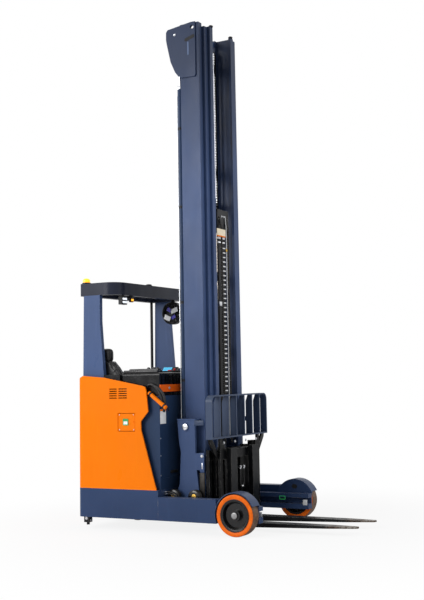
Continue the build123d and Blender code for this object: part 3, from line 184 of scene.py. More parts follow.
    def done(self, name, finish, body="chassis", slot=None, smooth=32, doubles=0.00001):
        """Makes the piece and hangs it on its body; the slot argument is not used."""
        bmesh.ops.remove_doubles(self.mesh, verts=self.mesh.verts, dist=doubles)
        bmesh.ops.recalc_face_normals(self.mesh, faces=self.mesh.faces)
        mesh = bpy.data.meshes.new(name)
        self.mesh.to_mesh(mesh)
        self.mesh.free()
        mesh.materials.append(FINISH[finish])
        mesh.shade_smooth()
        mesh.set_sharp_from_angle(angle=math.radians(smooth))
        piece = new_object(name, mesh)
        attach(piece, body)
        return piece


def new_object(name, data):
    """An object in the scene with its data."""
    made = bpy.data.objects.new(name, data)
    bpy.context.scene.collection.objects.link(made)
    return made


def smooth_path(points, parts=8):
    """A smooth line through the given points, for a fixed pipe or hose."""
    points = [Vector(point) for point in points]
    padded = [points[0] * 2 - points[1]] + points + [points[-1] * 2 - points[-2]]
    line = []
    for i in range(1, len(padded) - 2):
        a, b, c, d = padded[i - 1:i + 3]
        for step in range(parts):
            t = step / parts
            curve = (2 * a - 5 * b + 4 * c - d) * t * t + (3 * b - a - 3 * c + d) * t ** 3
            line.append(0.5 * ((2 * b) + (c - a) * t + curve))
    line.append(points[-1])
    return line


def straight_path(start, end, pitch):
    """Points at an even pitch on a straight run."""
    start, end = Vector(start), Vector(end)
    count = max(2, int((end - start).length / pitch))
    return [start.lerp(end, i / count) for i in range(count + 1)]


def arc(centre, radius, first, last, steps=6):
    """Corner points on an arc, by angle in degrees."""
    made = []
    for i in range(steps + 1):
        angle = math.radians(first + (last - first) * i / steps)
        made.append((centre[0] + radius * math.cos(angle), centre[1] + radius * math.sin(angle)))
    return made


def round_box(low, high, radius):
    """The outline of a rectangle with round corners."""
    x, z = (high[0] - radius, low[0] + radius), (high[1] - radius, low[1] + radius)
    outline = []
    for start, centre in ((0, (x[0], z[0])), (90, (x[1], z[0])), (180, (x[1], z[1])), (270, (x[0], z[1]))):
        outline += arc(centre, radius, start, start + 90)
    return outline


def capsule(start, end, radius, steps=6, trim=0):
    """The outline of a flat bar with round ends, each arc shorter by a trim in degrees."""
    lean = math.degrees(math.atan2(end[1] - start[1], end[0] - start[0]))
    outline = arc(start, radius, lean + 90 + trim, lean + 270 - trim, steps)
    return outline + arc(end, radius, lean - 90 + trim, lean + 90 - trim, steps)


# Finishes


def srgb(red, green, blue):
    """A screen colour as the linear value that a shader takes."""
    made = []
    for value in (red / 255, green / 255, blue / 255):
        made.append(value / 12.92 if value <= 0.04045 else ((value + 0.055) / 1.055) ** 2.4)
    return (*made, 1.0)


def shade(colour, amount):
    """The same colour, darker or lighter."""
    return (*[min(1.0, part * amount) for part in colour[:3]], 1.0)


def fill(tree, node, values):
    """Sets a node's inputs, or links sockets to them, and gives back its outputs."""
    for key, value in values.items():
        if isinstance(value, bpy.types.NodeSocket):
            tree.links.new(value, node.inputs[key])
        else:
            node.inputs[key].default_value = value
    return node.outputs


def add(tree, kind, values, operation=None):
    """A new node of one kind with its inputs filled; gives back its outputs."""
    node = tree.nodes.new("ShaderNode" + kind)
    if operation:
        node.operation = operation
    return fill(tree, node, values)


class Finish:
    """A surface whose colour, roughness and grain change over the object."""

    def __init__(self, rough, metal=0.0, specular=0.5):
        self.material = bpy.data.materials.new("finish")
        self.material.use_nodes = True
        self.tree = self.material.node_tree
        self.shader = self.tree.nodes["Principled BSDF"]
        self.set({"Roughness": rough, "Metallic": metal, "Specular IOR Level": specular})
        self.place = add(self.tree, "TexCoord", {})["Object"]
        self.normal = add(self.tree, "NewGeometry", {})["Normal"]
        self.bumps = None

    def set(self, values):
        """Fills inputs of the surface shader itself."""
        fill(self.tree, self.shader, values)

    def noise(self, scale, detail=3.0, stretch=(1, 1, 1), rough=0.5):
        """A cloudy factor; scale is in cells per metre, stretched along the axes."""
        place = add(self.tree, "Mapping", {"Scale": stretch, "Vector": self.place})["Vector"]
        values = {"Scale": scale, "Detail": detail, "Roughness": rough, "Vector": place}
        return add(self.tree, "TexNoise", values)["Fac"]

    def band(self, factor, start, end, low=0.0, high=1.0):
        """A number going from low to high while the factor goes from start to end."""
        values = {"Value": factor, "From Min": start, "From Max": end, "To Min": low, "To Max": high}
        return add(self.tree, "MapRange", values)["Result"]

    def cloud(self, scale, detail=4, start=0.3, end=0.7, low=0.0, high=1.0, stretch=(1, 1, 1), rough=0.5):
        """Noise as a number going from low to high."""
        return self.band(self.noise(scale, detail, stretch, rough), start, end, low, high)

    def times(self, first, second, clamp=True):
        """Two factors multiplied, and kept from 0 to 1 by a clamp."""
        node = self.tree.nodes.new("ShaderNodeMath")
        node.operation = "MULTIPLY"
        node.use_clamp = clamp
        return fill(self.tree, node, {0: first, 1: second})[0]

    def mix(self, factor, first, second):
        """One colour turning into another by a factor."""
        node = self.tree.nodes.new("ShaderNodeMix")
        node.data_type = "RGBA"
        return fill(self.tree, node, {0: factor, 6: first, 7: second})[2]

    def vary(self, factor, colour, dark, light):
        """A colour going from a darker to a lighter shade by a factor."""
        return self.mix(factor, shade(colour, dark), shade(colour, light))

    def facing(self, axis):
        """How far the surface faces along an axis, from -1 to 1."""
        return add(self.tree, "SeparateXYZ", {0: self.normal})[axis]

    def along(self, axis):
        """The point's coordinate on an axis, in metres."""
        return add(self.tree, "SeparateXYZ", {0: self.place})[axis]

    def bump(self, factor, strength, depth):
        """Adds relief to what is there already; depth is in metres."""
        values = {"Strength": strength, "Distance": depth, "Height": factor}
        if self.bumps is not None:
            values["Normal"] = self.bumps
        self.bumps = add(self.tree, "Bump", values)["Normal"]

    def edges(self, radius):
        """A factor that rises on the outer edges of the shape."""
        soft = self.tree.nodes.new("ShaderNodeBevel")
        soft.samples = 4
        ways = {0: fill(self.tree, soft, {"Radius": radius})["Normal"], 1: self.normal}
        return self.band(add(self.tree, "VectorMath", ways, "DOT_PRODUCT")["Value"], 0.97, 0.8)

    def finish(self, colour, rough=None):
        """Closes the material with its colour, roughness and relief."""
        self.set({"Base Color": colour})
        if rough is not None:
            self.set({"Roughness": rough})
        if self.bumps is not None:
            self.set({"Normal": self.bumps})
        return self.material


X, Y, Z = 0, 1, 2


def grease_and_painted_light(made, base, colour):
    """A mast channel's inner faces darkened by greasy streaks and painted shade, a painted highlight on its
    edges, and painted shade that darkens its top.
    """
    # painted highlight: every edge of the channel is lightened as if it caught the light
    base = made.mix(made.times(made.edges(0.006), 0.55), base, shade(colour, 2.2))
    side = add(made.tree, "Math", {0: made.along(Y)}, "SIGN")[0]
    # the inward faces get dark greasy streaks that also serve as painted shade inside the channel, stronger
    # higher up
    inward = made.band(made.times(made.facing(Y), side, False), -0.9, -0.2, 1.0, 0.0)
    streaks = made.cloud(16, 5, 0.42, 0.62, 0.25, 1.0, (1, 1, 0.12), 0.65)
    grease_and_shade_film = made.times(made.times(inward, streaks), made.band(made.along(Z), 2.4, 3.6, 0.45, 0.95))
    base = made.mix(grease_and_shade_film, base, srgb(46, 44, 47))
    # painted shade: the channel is darkened towards its top, from 3.0 m upward
    return made.mix(made.band(made.along(Z), 3.0, 4.2, 0.0, 0.85), base, shade(colour, 0.3))


def paint(colour, rough, spread=0.12, specular=0.4, dust=0.25, worn=False, greased_and_painted_light=False):
    """Sprayed paint: clouding, a painted sheen in faint upright streaks, orange-peel relief, dust on upward
    faces, chips on edges, and, when asked, greasy streaks with painted highlights and shade.
    """
    made = Finish(rough, 0.0, specular)
    base = made.vary(made.cloud(1.7), colour, 1 - spread, 1 + spread)
    up = made.band(made.facing(Z), 0.5, 1.0, 0.0, dust)
    grime = made.times(up, made.cloud(60, 5, 0.35, 0.62, rough=0.7))
    base = made.mix(grime, base, srgb(128, 122, 112))
    # painted sheen: faint lighter streaks that run upright
    base = made.mix(made.cloud(5, 4, 0.58, 0.78, 0.0, 0.16, (6, 6, 0.6)), base, shade(colour, 1.7))
    if worn:
        chips = made.times(made.edges(0.004), made.cloud(22, 5, 0.42, 0.6))
        base = made.mix(chips, base, srgb(140, 138, 134))
    if greased_and_painted_light:
        base = grease_and_painted_light(made, base, colour)
    made.bump(made.noise(420, 2), 0.05, 0.0004)
    made.bump(made.noise(9, 2), 0.06, 0.004)
    return made.finish(base, made.cloud(7, low=rough - 0.07, high=rough + 0.1, stretch=(1, 1, 0.35)))


def moulded(colour, rough, grain=900.0, specular=0.25):
    """Moulded plastic or rubber with a fine grain and rubbed patches."""
    made = Finish(rough, 0.0, specular)
    base = made.vary(made.cloud(6), colour, 0.85, 1.25)
    up = made.band(made.facing(Z), 0.4, 1.0, 0.0, 0.22)
    base = made.mix(made.times(up, made.cloud(45, 5, 0.4, 0.65)), base, srgb(120, 116, 110))
    made.bump(made.noise(grain, 3), 0.22, 0.0006)
    return made.finish(base, made.cloud(14, low=rough - 0.08, high=rough + 0.1))


def metal(colour, rough, stain, amount, stretch=(1, 1, 1)):
    """Bare metal with fine tool lines, cloudy gloss and stains."""
    made = Finish(rough, 1.0, 0.5)
    lines = made.noise(180, 4, stretch, 0.6)
    base = made.vary(made.band(lines, 0.3, 0.7), colour, 0.8, 1.12)
    base = made.mix(made.cloud(16, 5, 0.45, 0.7, 0.0, amount, rough=0.65), base, stain)
    made.bump(lines, 0.12, 0.0004)
    return made.finish(base, made.cloud(30, low=rough - 0.07, high=rough + 0.12))


def wheel_rubber(flank, tread):
    """Cast tyre: the flanks keep its colour, the running face is brown and dusty."""
    made = Finish(0.42, 0.0, 0.2)
    turned = add(made.tree, "Math", {0: made.facing(Y)}, "ABSOLUTE")[0]
    cloud = made.cloud(20, 5)
    side = made.vary(cloud, flank, 0.86, 1.08)
    side = made.mix(made.cloud(55, 6, 0.52, 0.66, 0.0, 0.5, rough=0.7), side, shade(flank, 0.55))
    face = made.vary(made.cloud(70, 6, 0.35, 0.65, stretch=(1, 0.4, 1)), tread, 0.6, 1.35)
    made.bump(made.noise(140, 5), 0.25, 0.0012)
    base = made.mix(made.band(turned, 0.45, 0.8), face, side)
    return made.finish(base, made.band(cloud, 0, 1, 0.34, 0.56))


def leather(colour, rough, specular):
    """Seat vinyl: a pebbled grain, soft shine on the rubbed places and fine creases."""
    made = Finish(rough + 0.1, 0.0, specular)
    made.set({"Sheen Weight": 0.06})
    grain = add(made.tree, "TexVoronoi", {"Scale": 420, "Vector": made.place})["Distance"]
    crease = made.noise(34, 5, (1, 1, 1), 0.6)
    base = made.vary(made.cloud(7), colour, 0.8, 1.5)
    base = made.mix(made.band(made.facing(Z), 0.6, 1.0, 0.0, 0.05), base, srgb(120, 116, 112))
    made.bump(grain, 0.35, 0.0005)
    made.bump(made.band(crease, 0.46, 0.52), 0.16, 0.0012)
    return made.finish(base, made.band(crease, 0.3, 0.7, rough, rough + 0.2))


def glow(colour, light, strength):
    """A lit lens, moulded with fine ribs; the green sticker frame on the legs also takes it as a painted
    glow.
    """
    made = Finish(0.2)
    made.set({"Emission Color": light, "Emission Strength": strength})
    ribs = made.noise(130, 2)
    made.bump(ribs, 0.3, 0.001)
    return made.finish(made.mix(made.band(ribs, 0.3, 0.7), shade(colour, 0.8), colour))


def fork_steel():
    """Black fork paint, worn bright and rusty towards the tip and along the edges."""
    made = Finish(0.42, 0.0, 0.2)
    dark = made.mix(made.cloud(12), srgb(5, 6, 8), srgb(16, 19, 22))
    rust = made.mix(made.cloud(35, 5, 0.35, 0.65), srgb(52, 38, 30), srgb(98, 78, 62))
    bright = srgb(150, 146, 138)
    ragged = add(made.tree, "Math", {0: made.along(X), 1: made.cloud(14, 5, low=-0.12, high=0.12)}, "ADD")[0]
    base = made.mix(made.band(ragged, 0.95, 1.15), dark, rust)
    worn = made.times(made.band(ragged, 1.08, 1.26), made.cloud(48, 5, 0.4, 0.6))
    base = made.mix(worn, base, bright)
    scratch = made.cloud(10, 6, 0.6, 0.72, 0.0, 0.4, (0.35, 14, 14), 0.7)
    base = made.mix(made.times(scratch, made.band(made.facing(Z), 0.7, 1.0)), base, srgb(120, 118, 112))
    base = made.mix(made.times(made.edges(0.003), made.cloud(26, 5, 0.36, 0.56)), base, bright)
    made.bump(made.noise(160, 4, (0.4, 1, 1)), 0.25, 0.0008)
    return made.finish(base, made.cloud(20, low=0.3, high=0.5))


def cylinder_steel(level):
    """The free-lift cylinder: a dark barrel, and a polished rod above a level."""
    made = Finish(0.3, 0.0, 0.4)
    upper = made.band(made.along(Z), level, level + 0.002)
    barrel = made.mix(made.cloud(5), srgb(24, 30, 46), srgb(40, 50, 74))
    tint = made.cloud(9, 4, 0.35, 0.65, stretch=(1, 1, 0.3))
    rod = made.mix(tint, srgb(150, 140, 132), srgb(206, 196, 186))
    made.set({"Metallic": made.times(upper, 0.9)})
    made.bump(made.noise(300, 2), 0.04, 0.0004)
    return made.finish(made.mix(upper, barrel, rod), made.band(upper, 0.0, 1.0, 0.36, 0.2))


# Tables of finishes: the colour, then the other values that each material's function takes in order

STAIN = srgb(88, 74, 62)
PAINTS = {
    "mast": ((64, 84, 124), 0.34, 0.1, 0.22, 0.2),
    "rail": ((60, 79, 118), 0.38, 0.16, 0.22, 0.2, False, True),
    "hull": ((42, 62, 98), 0.38, 0.12, 0.22, 0.25, True),
    "cover": ((34, 54, 84), 0.4, 0.12, 0.2, 0.2),
    "guard": ((32, 37, 52), 0.36, 0.12, 0.22, 0.2),
    "orange": ((248, 124, 0), 0.34, 0.04, 0.1, 0.06),
    "orange_dark": ((226, 92, 6), 0.42, 0.08, 0.2, 0.12),
    "black": ((20, 21, 25), 0.38, 0.2, 0.25, 0.2, True),
    "carriage": ((6, 7, 9), 0.3, 0.25, 0.16, 0.1, True),
    "backrest": ((62, 76, 102), 0.36, 0.12, 0.25, 0.2),
    "hub": ((9, 9, 11), 0.22, 0.25, 0.5, 0.1),
}
METALS = {
    "steel": ((190, 190, 192), 0.34, STAIN, 0.35),
    "bright": ((226, 228, 232), 0.16, STAIN, 0.12, (20, 20, 0.6)),
    "zinc": ((214, 216, 220), 0.3, STAIN, 0.2),
    "chain": ((52, 50, 49), 0.36, srgb(30, 27, 24), 0.7),
    "iron": ((64, 62, 60), 0.5, srgb(24, 22, 20), 0.6),
    "cap": ((150, 150, 150), 0.42, srgb(60, 56, 52), 0.6),
    "brass": ((216, 176, 84), 0.3, STAIN, 0.3),
}
MOULDINGS = {
    "plastic": ((18, 18, 21), 0.36),
    "gloss": ((16, 16, 19), 0.2, 300.0, 0.5),
    "soft": ((20, 20, 22), 0.6, 700.0, 0.3),
    "grey": ((86, 104, 138), 0.38),
    "hose": ((22, 22, 24), 0.46, 500.0, 0.4),
    "mat": ((26, 26, 28), 0.62, 240.0, 0.3),
    "battery": ((90, 90, 95), 0.5, 300.0, 0.35),
    "sheet": ((236, 238, 240), 0.34, 200.0),
    "label": ((70, 160, 96), 0.34, 200.0),
    "red": ((200, 24, 18), 0.28, 300.0),
    "white": ((222, 224, 226), 0.36, 300.0),
    "cream": ((226, 214, 188), 0.36, 200.0),
    "violet": ((70, 62, 176), 0.3, 200.0),
    "console": ((9, 9, 12), 0.2, 36.0, 0.3),
}
LIT_PARTS_AND_PAINTED_GLOW = {
    "amber": ((255, 160, 20), srgb(255, 176, 40), 1.6),
    "led": ((236, 240, 246), srgb(236, 244, 255), 0.9),
    "screen": ((80, 180, 220), srgb(90, 190, 235), 0.6),
    # green: a sticker's colour painted glowing, not a lamp
    "green": ((60, 180, 100), srgb(60, 200, 110), 0.25),
}
FINISH = {
    "fork": fork_steel(),
    "free": cylinder_steel(2.0),
    "tyre": wheel_rubber(srgb(250, 112, 6), srgb(104, 80, 64)),
    "drive_tyre": wheel_rubber(srgb(40, 34, 30), srgb(66, 56, 48)),
    "seat": leather(srgb(14, 14, 17), 0.22, 0.3),
}
for make, table in ((paint, PAINTS), (metal, METALS), (moulded, MOULDINGS), (glow, LIT_PARTS_AND_PAINTED_GLOW)):
    for key, (colour, *values) in table.items():
        FINISH[key] = make(srgb(*colour), *values)
for key, material in FINISH.items():
    material.name = f"{key}_finish"

CAD_FINISH = {
    "mast": "pillar_left pillar_right mast_outer_ties mast_inner_ties reach_frame",
    "rail": "mast_outer mast_middle mast_inner",
    "hull": "hull leg_left leg_right",
    "cover": "front_cover inner_wall lift_cylinders",
    "guard": "guard",
    "orange": "side_panel_left side_panel_right rear_panel service_door grab_handle",
    "orange_dark": "cross_bar",
    "black": "rear_feet seat_base drive_unit free_head pole",
    "free": "free_cylinder",
    "carriage": "fork_carriage shift_frame fork_holder",
    "backrest": "backrest",
    "fork": "fork_left fork_right",
    "steel": "reach_rollers",
    "bright": "lift_rods",
    "chain": "stage_chains carriage_chains",
    "hub": "load_hub_left load_hub_right drive_hub",
    "tyre": "load_tyre_left load_tyre_right",
    "drive_tyre": "drive_tyre",
    "console": "console",
    "plastic": "steering_dash steering_wheel pedals work_lamp fan",
    "grey": "display_hood",
    "seat": "seat_cushion seat_back headrest",
    "mat": "deck",
    "battery": "battery",
    "amber": "beacon",
}
for finish, names in CAD_FINISH.items():
    for name in names.split():
        nodes[name].material_slots[0].material = FINISH[finish]

# Wheels and running gear


def load_wheel(side, sign):
    """Cast tyre with rounded shoulders, a rim ring and a steel cap."""
    body = f"load_wheel_{side}"
    centre = (0.34, 0, 0.175)
    inner, outer = 0.53, 0.638
    radius, bore, soft, wave = 0.1748, 0.1352, 0.011, 0.0003
    tyre = [(bore, inner), (radius - soft, inner)]
    tyre += arc((radius - soft, inner + soft), soft, -60, 0, 2)
    for step in range(1, 6):
        tyre.append((radius - wave * (step % 2), inner + (outer - inner) * (0.14 + 0.12 * step)))
    tyre += arc((radius - soft, outer - soft), soft, 0, 90, 3)
    tyre += [(bore + 0.008, outer), (bore + 0.004, outer - 0.003), (bore, outer - 0.003)]
    cast = Shape().lathe(tyre, centre, "Y", 96, True).side(sign)
    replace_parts(cast.done(f"load_tyre_{side}_cast", "tyre", body, smooth=40), f"load_tyre_{side}")
    rim = [(0.1352, 0.63), (0.1352, 0.6385), (0.13, 0.6392), (0.1262, 0.636), (0.1262, 0.63)]
    Shape().lathe(rim, centre, "Y", 96, True).side(sign).done(f"rim_ring_{side}", "hub", body, smooth=40)
    cap = [(0, 0.6475), (0.018, 0.6475), (0.0225, 0.647), (0.0265, 0.6455), (0.0275, 0.6435), (0, 0.6435)]
    Shape().lathe(cap, centre, "Y", 40).side(sign).done(f"wheel_cap_{side}", "cap", body, smooth=30)


def foot_bolts():
    """The silver bolts that hold the two rear feet."""
    bolts = Shape().rod((-1.1875, 0.6, 0.088), (-1.1875, 0.6285, 0.088), 0.016, 6, 0.002)
    bolts.rod((-1.158, 0.6, 0.07), (-1.152, 0.6, 0.07), 0.013, 6, 0.002)
    bolts.both().done("foot_bolts", "zinc")


def drive_nuts():
    """Six nuts on each side of the drive wheel's hub."""
    nuts = Shape()
    for x, z in arc((-1.04, 0.1715), 0.07, 0, 300, 5):
        nuts.bolt((x, 0.0425, z), "+Y", 0.01, 0.01)
    nuts.both().done("drive_nuts", "zinc", "drive_wheel")


def reach_rollers():
    """The reach frame's four rollers: iron tread, black ring and brass hub."""
    tread = [(0.03, 0.462), (0.056, 0.462), (0.0585, 0.4645), (0.0585, 0.5055), (0.056, 0.508)]
    tread += [(0.046, 0.508), (0.046, 0.505), (0.03, 0.505)]
    ring = [(0.024, 0.503), (0.0545, 0.503), (0.0545, 0.509), (0.0525, 0.5105), (0.024, 0.5105)]
    hub = [(0, 0.5125), (0.017, 0.5125), (0.0225, 0.5115), (0.025, 0.509), (0.025, 0.5), (0, 0.5)]
    parts = [("tread", "iron", tread, 56, True), ("ring", "hub", ring, 48, True)]
    parts.append(("hub", "brass", hub, 32, False))
    for tag, x, sign in (("a", -0.34, -1), ("b", -0.13, -1), ("c", -0.34, 1), ("d", -0.13, 1)):
        for part, finish, profile, steps, closed in parts:
            turned = Shape().lathe(profile, (x, 0, 0.298), "Y", steps, closed).side(sign)
            turned.done(f"reach_{part}_{tag}", finish, "reach", smooth=40)


load_wheel("right", -1)
load_wheel("left", 1)
foot_bolts()
drive_nuts()
reach_rollers()

# Cab


def beacon():
    """Amber dome with upright ribs on a black foot."""
    x, y = -1.224, -0.56
    radius, shoulder, rise = 0.0335, 2.236, 0.0215
    ribs, depth = 36, 0.0009
    foot = [(0, 2.204), (0.04, 2.204), (0.04, 2.213), (0.037, 2.217), (0.034, 2.218), (0, 2.218)]
    Shape().lathe(foot, (x, y, 0)).done("beacon_foot", "plastic", smooth=40)
    dome = [(0, 2.218), (radius, 2.218), (radius, shoulder)]
    for angle in range(10, 91, 10):
        turn = math.radians(angle)
        dome.append((radius * math.cos(turn), shoulder + rise * math.sin(turn)))
    lens = Shape().lathe(dome, (x, y, 0), "Z", 72)
    for vert in lens.mesh.verts:
        away = Vector((vert.co.x - x, vert.co.y - y, 0))
        if away.length > 0.02:
            wave = 0.5 + 0.5 * math.cos(ribs * math.atan2(away.y, away.x))
            vert.co -= away.normalized() * depth * wave
    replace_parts(lens.done("beacon_lens", "amber", smooth=50), "beacon")


def roof_details():
    """Screws along the guard's edge and the small dark dome on the roof."""
    spots = [(x, y, 2.2035) for x in (-1.235, -0.893) for y in (0.15, 0.4)]
    Shape().rods(spots, (0, 0, 0.004), 0.008, 6).both().done("roof_screws", "zinc")
    dome = [(0, 2.204), (0.03, 2.204), (0.03, 2.212), (0.026, 2.217), (0.016, 2.22), (0, 2.221)]
    Shape().lathe(dome, (-0.895, -0.02, 0), "Z", 36).done("roof_aerial", "plastic", smooth=40)


def rear_details():
    """Screws and two grab recess rims on the back panel."""
    spots = [(-1.2675, y, z) for y in (0.19, 0.56) for z in (0.42, 1.28)]
    Shape().rods(spots, (-0.0025, 0, 0), 0.007).both().done("rear_screws", "zinc")
    grip = round_box((0.23, 1.1), (0.37, 1.15), 0.024)
    Shape().prism(grip, "X", -1.2676, -1.269).both().done("rear_grips", "soft")


def display():
    """Screen, bezel and button on the display hood."""
    case = [(0.02, 1.375), (0.082, 1.375), (0.088, 1.424), (0.078, 1.426)]
    Shape().prism(case, "X", -0.8, -0.636, 0.004).done("display_case", "gloss", smooth=40)
    slope = Vector((0, 0.051, 0.058)).normalized()
    foot = Vector((0, 0.0265, 1.3835)) + Vector((0, -slope.z, slope.y)) * 0.0016
    screen = Shape()
    corners = []
    for x, lift in ((-0.785, 0), (-0.69, 0), (-0.69, 0.052), (-0.785, 0.052)):
        corners.append(screen.mesh.verts.new(Vector((x, 0, 0)) + foot + slope * lift))
    screen.mesh.faces.new(corners)
    bmesh.ops.solidify(screen.mesh, geom=screen.mesh.faces[:], thickness=0.0014)
    screen.done("display_screen", "screen")
    knob = Shape().rod((-0.658, 0.05, 1.396), (-0.658, 0.042, 1.408), 0.0105, 28, 0.002)
    knob.done("display_button", "red", smooth=40)


def work_lamp():
    """The hung lamp: finned back, glossy bezel, six lit cells and an arm."""
    low, high = Vector((-0.905, -0.505, 2.002)), Vector((-0.868, -0.42, 2.076))
    inset = 0.003
    fins = Shape()
    for i in range(6):
        z = low.z + 0.008 + i * 0.0118
        fins.box((low.x, low.y + 0.006, z), (low.x + 0.014, high.y - 0.006, z + 0.004), 0.001)
    fins.done("work_lamp_fins", "plastic")
    outline = round_box((low.y + inset, low.z + inset), (high.y - inset, high.z - inset), 0.01)
    bezel = Shape().prism(outline, "X", high.x - 0.004, high.x + 0.003, 0.0012)
    bezel.done("work_lamp_bezel", "gloss", slot="lamp_black")
    cup = [(0, 0.0045), (0.006, 0.0055), (0.0098, 0.004), (0.0104, 0), (0, 0)]
    cells = Shape()
    for row in range(2):
        for column in range(3):
            spot = (high.x + 0.002, low.y + 0.0195 + column * 0.023, low.z + 0.022 + row * 0.03)
            cells.lathe(cup, spot, "X", 24)
    cells.done("work_lamp_cells", "led", smooth=40)
    arm = Shape().box((-0.895, -0.468, 2.07), (-0.879, -0.457, 2.092), 0.002)
    arm.bolt((-0.887, -0.4575, 2.079), "+Y", 0.006, 0.005).done("work_lamp_arm", "black", slot="lamp_black")


def roof_sensor():
    """The small piece beside the work lamp with a warm lit face."""
    Shape().box((-0.893, -0.36, 2.03), (-0.868, -0.31, 2.091), 0.006, 3).done("roof_sensor", "plastic")
    Shape().box((-0.8685, -0.352, 2.04), (-0.8665, -0.318, 2.06), 0.0008).done("roof_sensor_face", "amber")


FAN = Vector((-0.89, 0.4, 1.96))


def fan_spot(radius, angle, depth):
    """A point by its distance from the fan's axis, its angle and its place along the axis."""
    return FAN + Vector((radius * math.cos(angle), depth, radius * math.sin(angle)))


def fan_blades(shape, blades=7):
    """Thin twisted blades, each a strip two faces wide."""
    for i in range(blades):
        rows = []
        for radius in (0.022, 0.045, 0.07, 0.096):
            row = []
            for part in (-1, 0, 1):
                sweep = part * (16 + 60 * (radius - 0.02)) + 120 * radius
                angle = math.radians(360 * i / blades + sweep)
                row.append(shape.mesh.verts.new(fan_spot(radius, angle, part * 0.013 * (1 - radius * 3))))
            rows.append(row)
        for first, second in zip(rows, rows[1:]):
            for k in range(2):
                shape.mesh.faces.new((first[k], first[k + 1], second[k + 1], second[k]))


def fan():
    """The fan: ring, wire guards, motor, blades, mount, back and blank stickers."""
    ring = Shape()
    rim = [(0.1045, -0.0335), (0.111, -0.03), (0.1118, 0), (0.111, 0.03), (0.1045, 0.0335)]
    rim += [(0.1015, 0.03), (0.1015, -0.03)]
    ring.lathe(rim, FAN, "Y", 72, True)
    for sign in (1, -1):
        for radius in (0.03, 0.046, 0.062, 0.078, 0.092):
            ring.lathe(arc((radius, sign * 0.031), 0.0016, 0, 300, 5), FAN, "Y", 48, True)
        for i in range(6):
            angle = math.radians(60 * i + 15)
            ring.rod(fan_spot(0.026, angle, sign * 0.0325), fan_spot(0.105, angle, sign * 0.0325), 0.0019, 8)
        ring.rod(fan_spot(0, 0, sign * 0.026), fan_spot(0, 0, sign * 0.0345), 0.029, 32, 0.003)
    fan_blades(ring)
    mount = [(-0.02, 2.07), (0.02, 2.07), (0.014, 2.092), (-0.014, 2.092)]
    ring.prism([(FAN.x + a, b) for a, b in mount], "Y", 0.392, 0.408, 0.002)
    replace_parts(ring.done("fan_detailed", "plastic", smooth=35), "fan")
    back = Shape().lathe([(0, 0.01), (0.102, 0.01), (0.102, 0.014), (0, 0.014)], FAN, "Y", 56)
    back.done("fan_back", "gloss", slot="lamp_black", smooth=40)
    stickers = (
        (-0.935, 1.915, 0.036, 0.024, 24, "sheet"),
        (-0.855, 1.985, 0.04, 0.022, -18, "sheet"),
        (-0.912, 1.992, 0.026, 0.018, 30, "violet"),
        (-0.862, 1.92, 0.024, 0.016, -30, "violet"),
    )
    for number, (x, z, half, tall, lean, finish) in enumerate(stickers):
        low, high = (x - half, 0.3625, z - tall), (x + half, 0.3638, z + tall)
        sticker = Shape().box(low, high, 0.0005, 1, (lean, "Y"))
        sticker.done(f"fan_sticker_{number}", finish, slot="lamp_black")


def console_details():
    """Folds, ribs, levers and the stop button on the driver's console."""
    folds = Shape()
    for i, (y, top) in enumerate(((-0.56, 1.398), (-0.5, 1.41), (-0.425, 1.394))):
        outline = round_box((y - 0.026, 1.37), (y + 0.026, top), 0.011)
        folds.prism(outline, "X", -0.8 + 0.02 * i, -0.44 - 0.03 * i, 0.004)
    folds.done("console_rolls", "gloss", smooth=40)
    ribs = Shape()
    for i in range(9):
        x = -0.6 + i * 0.02
        ribs.box((x, -0.33, 1.374), (x + 0.009, -0.175, 1.388), 0.003)
    ribs.done("console_ribs", "soft", smooth=40)
    knob = [(0, 1.425), (0.008, 1.424), (0.0135, 1.418), (0.015, 1.41), (0.0125, 1.402), (0.006, 1.398)]
    boot = [(0, 1.388), (0.007, 1.388), (0.011, 1.384), (0.01, 1.38), (0.015, 1.377), (0.018, 1.372)]
    levers = Shape()
    for x in (-0.7, -0.64):
        for y in (-0.33, -0.27):
            levers.rod((x, y, 1.37), (x, y, 1.402), 0.0045, 16)
            levers.lathe(knob + [(0, 1.398)], (x, y, 0), "Z", 28)
            levers.lathe(boot + [(0, 1.372)], (x, y, 0), "Z", 28)
    levers.done("console_levers", "gloss", smooth=40)
    button = [(0, 1.398), (0.018, 1.396), (0.021, 1.388), (0.021, 1.374), (0, 1.374)]
    Shape().lathe(button, (-0.52, -0.255, 0), "Z", 32).done("stop_button", "red", smooth=40)


def bar_bolts():
    """The two white bolts of the orange bar."""
    Shape().bolt((-0.3985, 0.455, 1.2355), "+X", 0.01, 0.008).both().done("bar_bolts", "zinc")


def front_cover_details():
    """Blank sheet with an orange strip, hook, screws, seam and latch on the front cover."""
    face = -0.4105
    Shape().box((-0.411, -0.592, 0.925), (-0.4085, -0.5, 1.052), 0.0006).done("blank_sheet", "sheet")
    Shape().box((-0.4087, -0.592, 1.036), (-0.4079, -0.5, 1.052), 0.0002).done("sheet_strip", "orange")
    bend = [(-0.41, 1.062), (-0.398, 1.062), (-0.39, 1.055), (-0.39, 1.04), (-0.397, 1.033)]
    hook = smooth_path([(x, -0.484, z) for x, z in bend], 5)
    Shape().tube(hook, 0.0045).done("cover_hook", "black", smooth=50)
    spots = [(face, 0.588, z) for z in (0.48, 0.65, 0.8, 1.11)]
    Shape().rods(spots, (0.003, 0, 0), 0.006).both().done("cover_screws", "zinc")
    seam = [(-0.56, 0.44), (-0.24, 0.47), (-0.24, 0.476), (-0.56, 0.446)]
    Shape().prism(seam, "X", face, -0.408, 0.0005).done("cover_seam", "cover")
    Shape().box((face, -0.44, 0.488), (-0.4, -0.33, 0.512), 0.003).done("cover_latch", "soft")


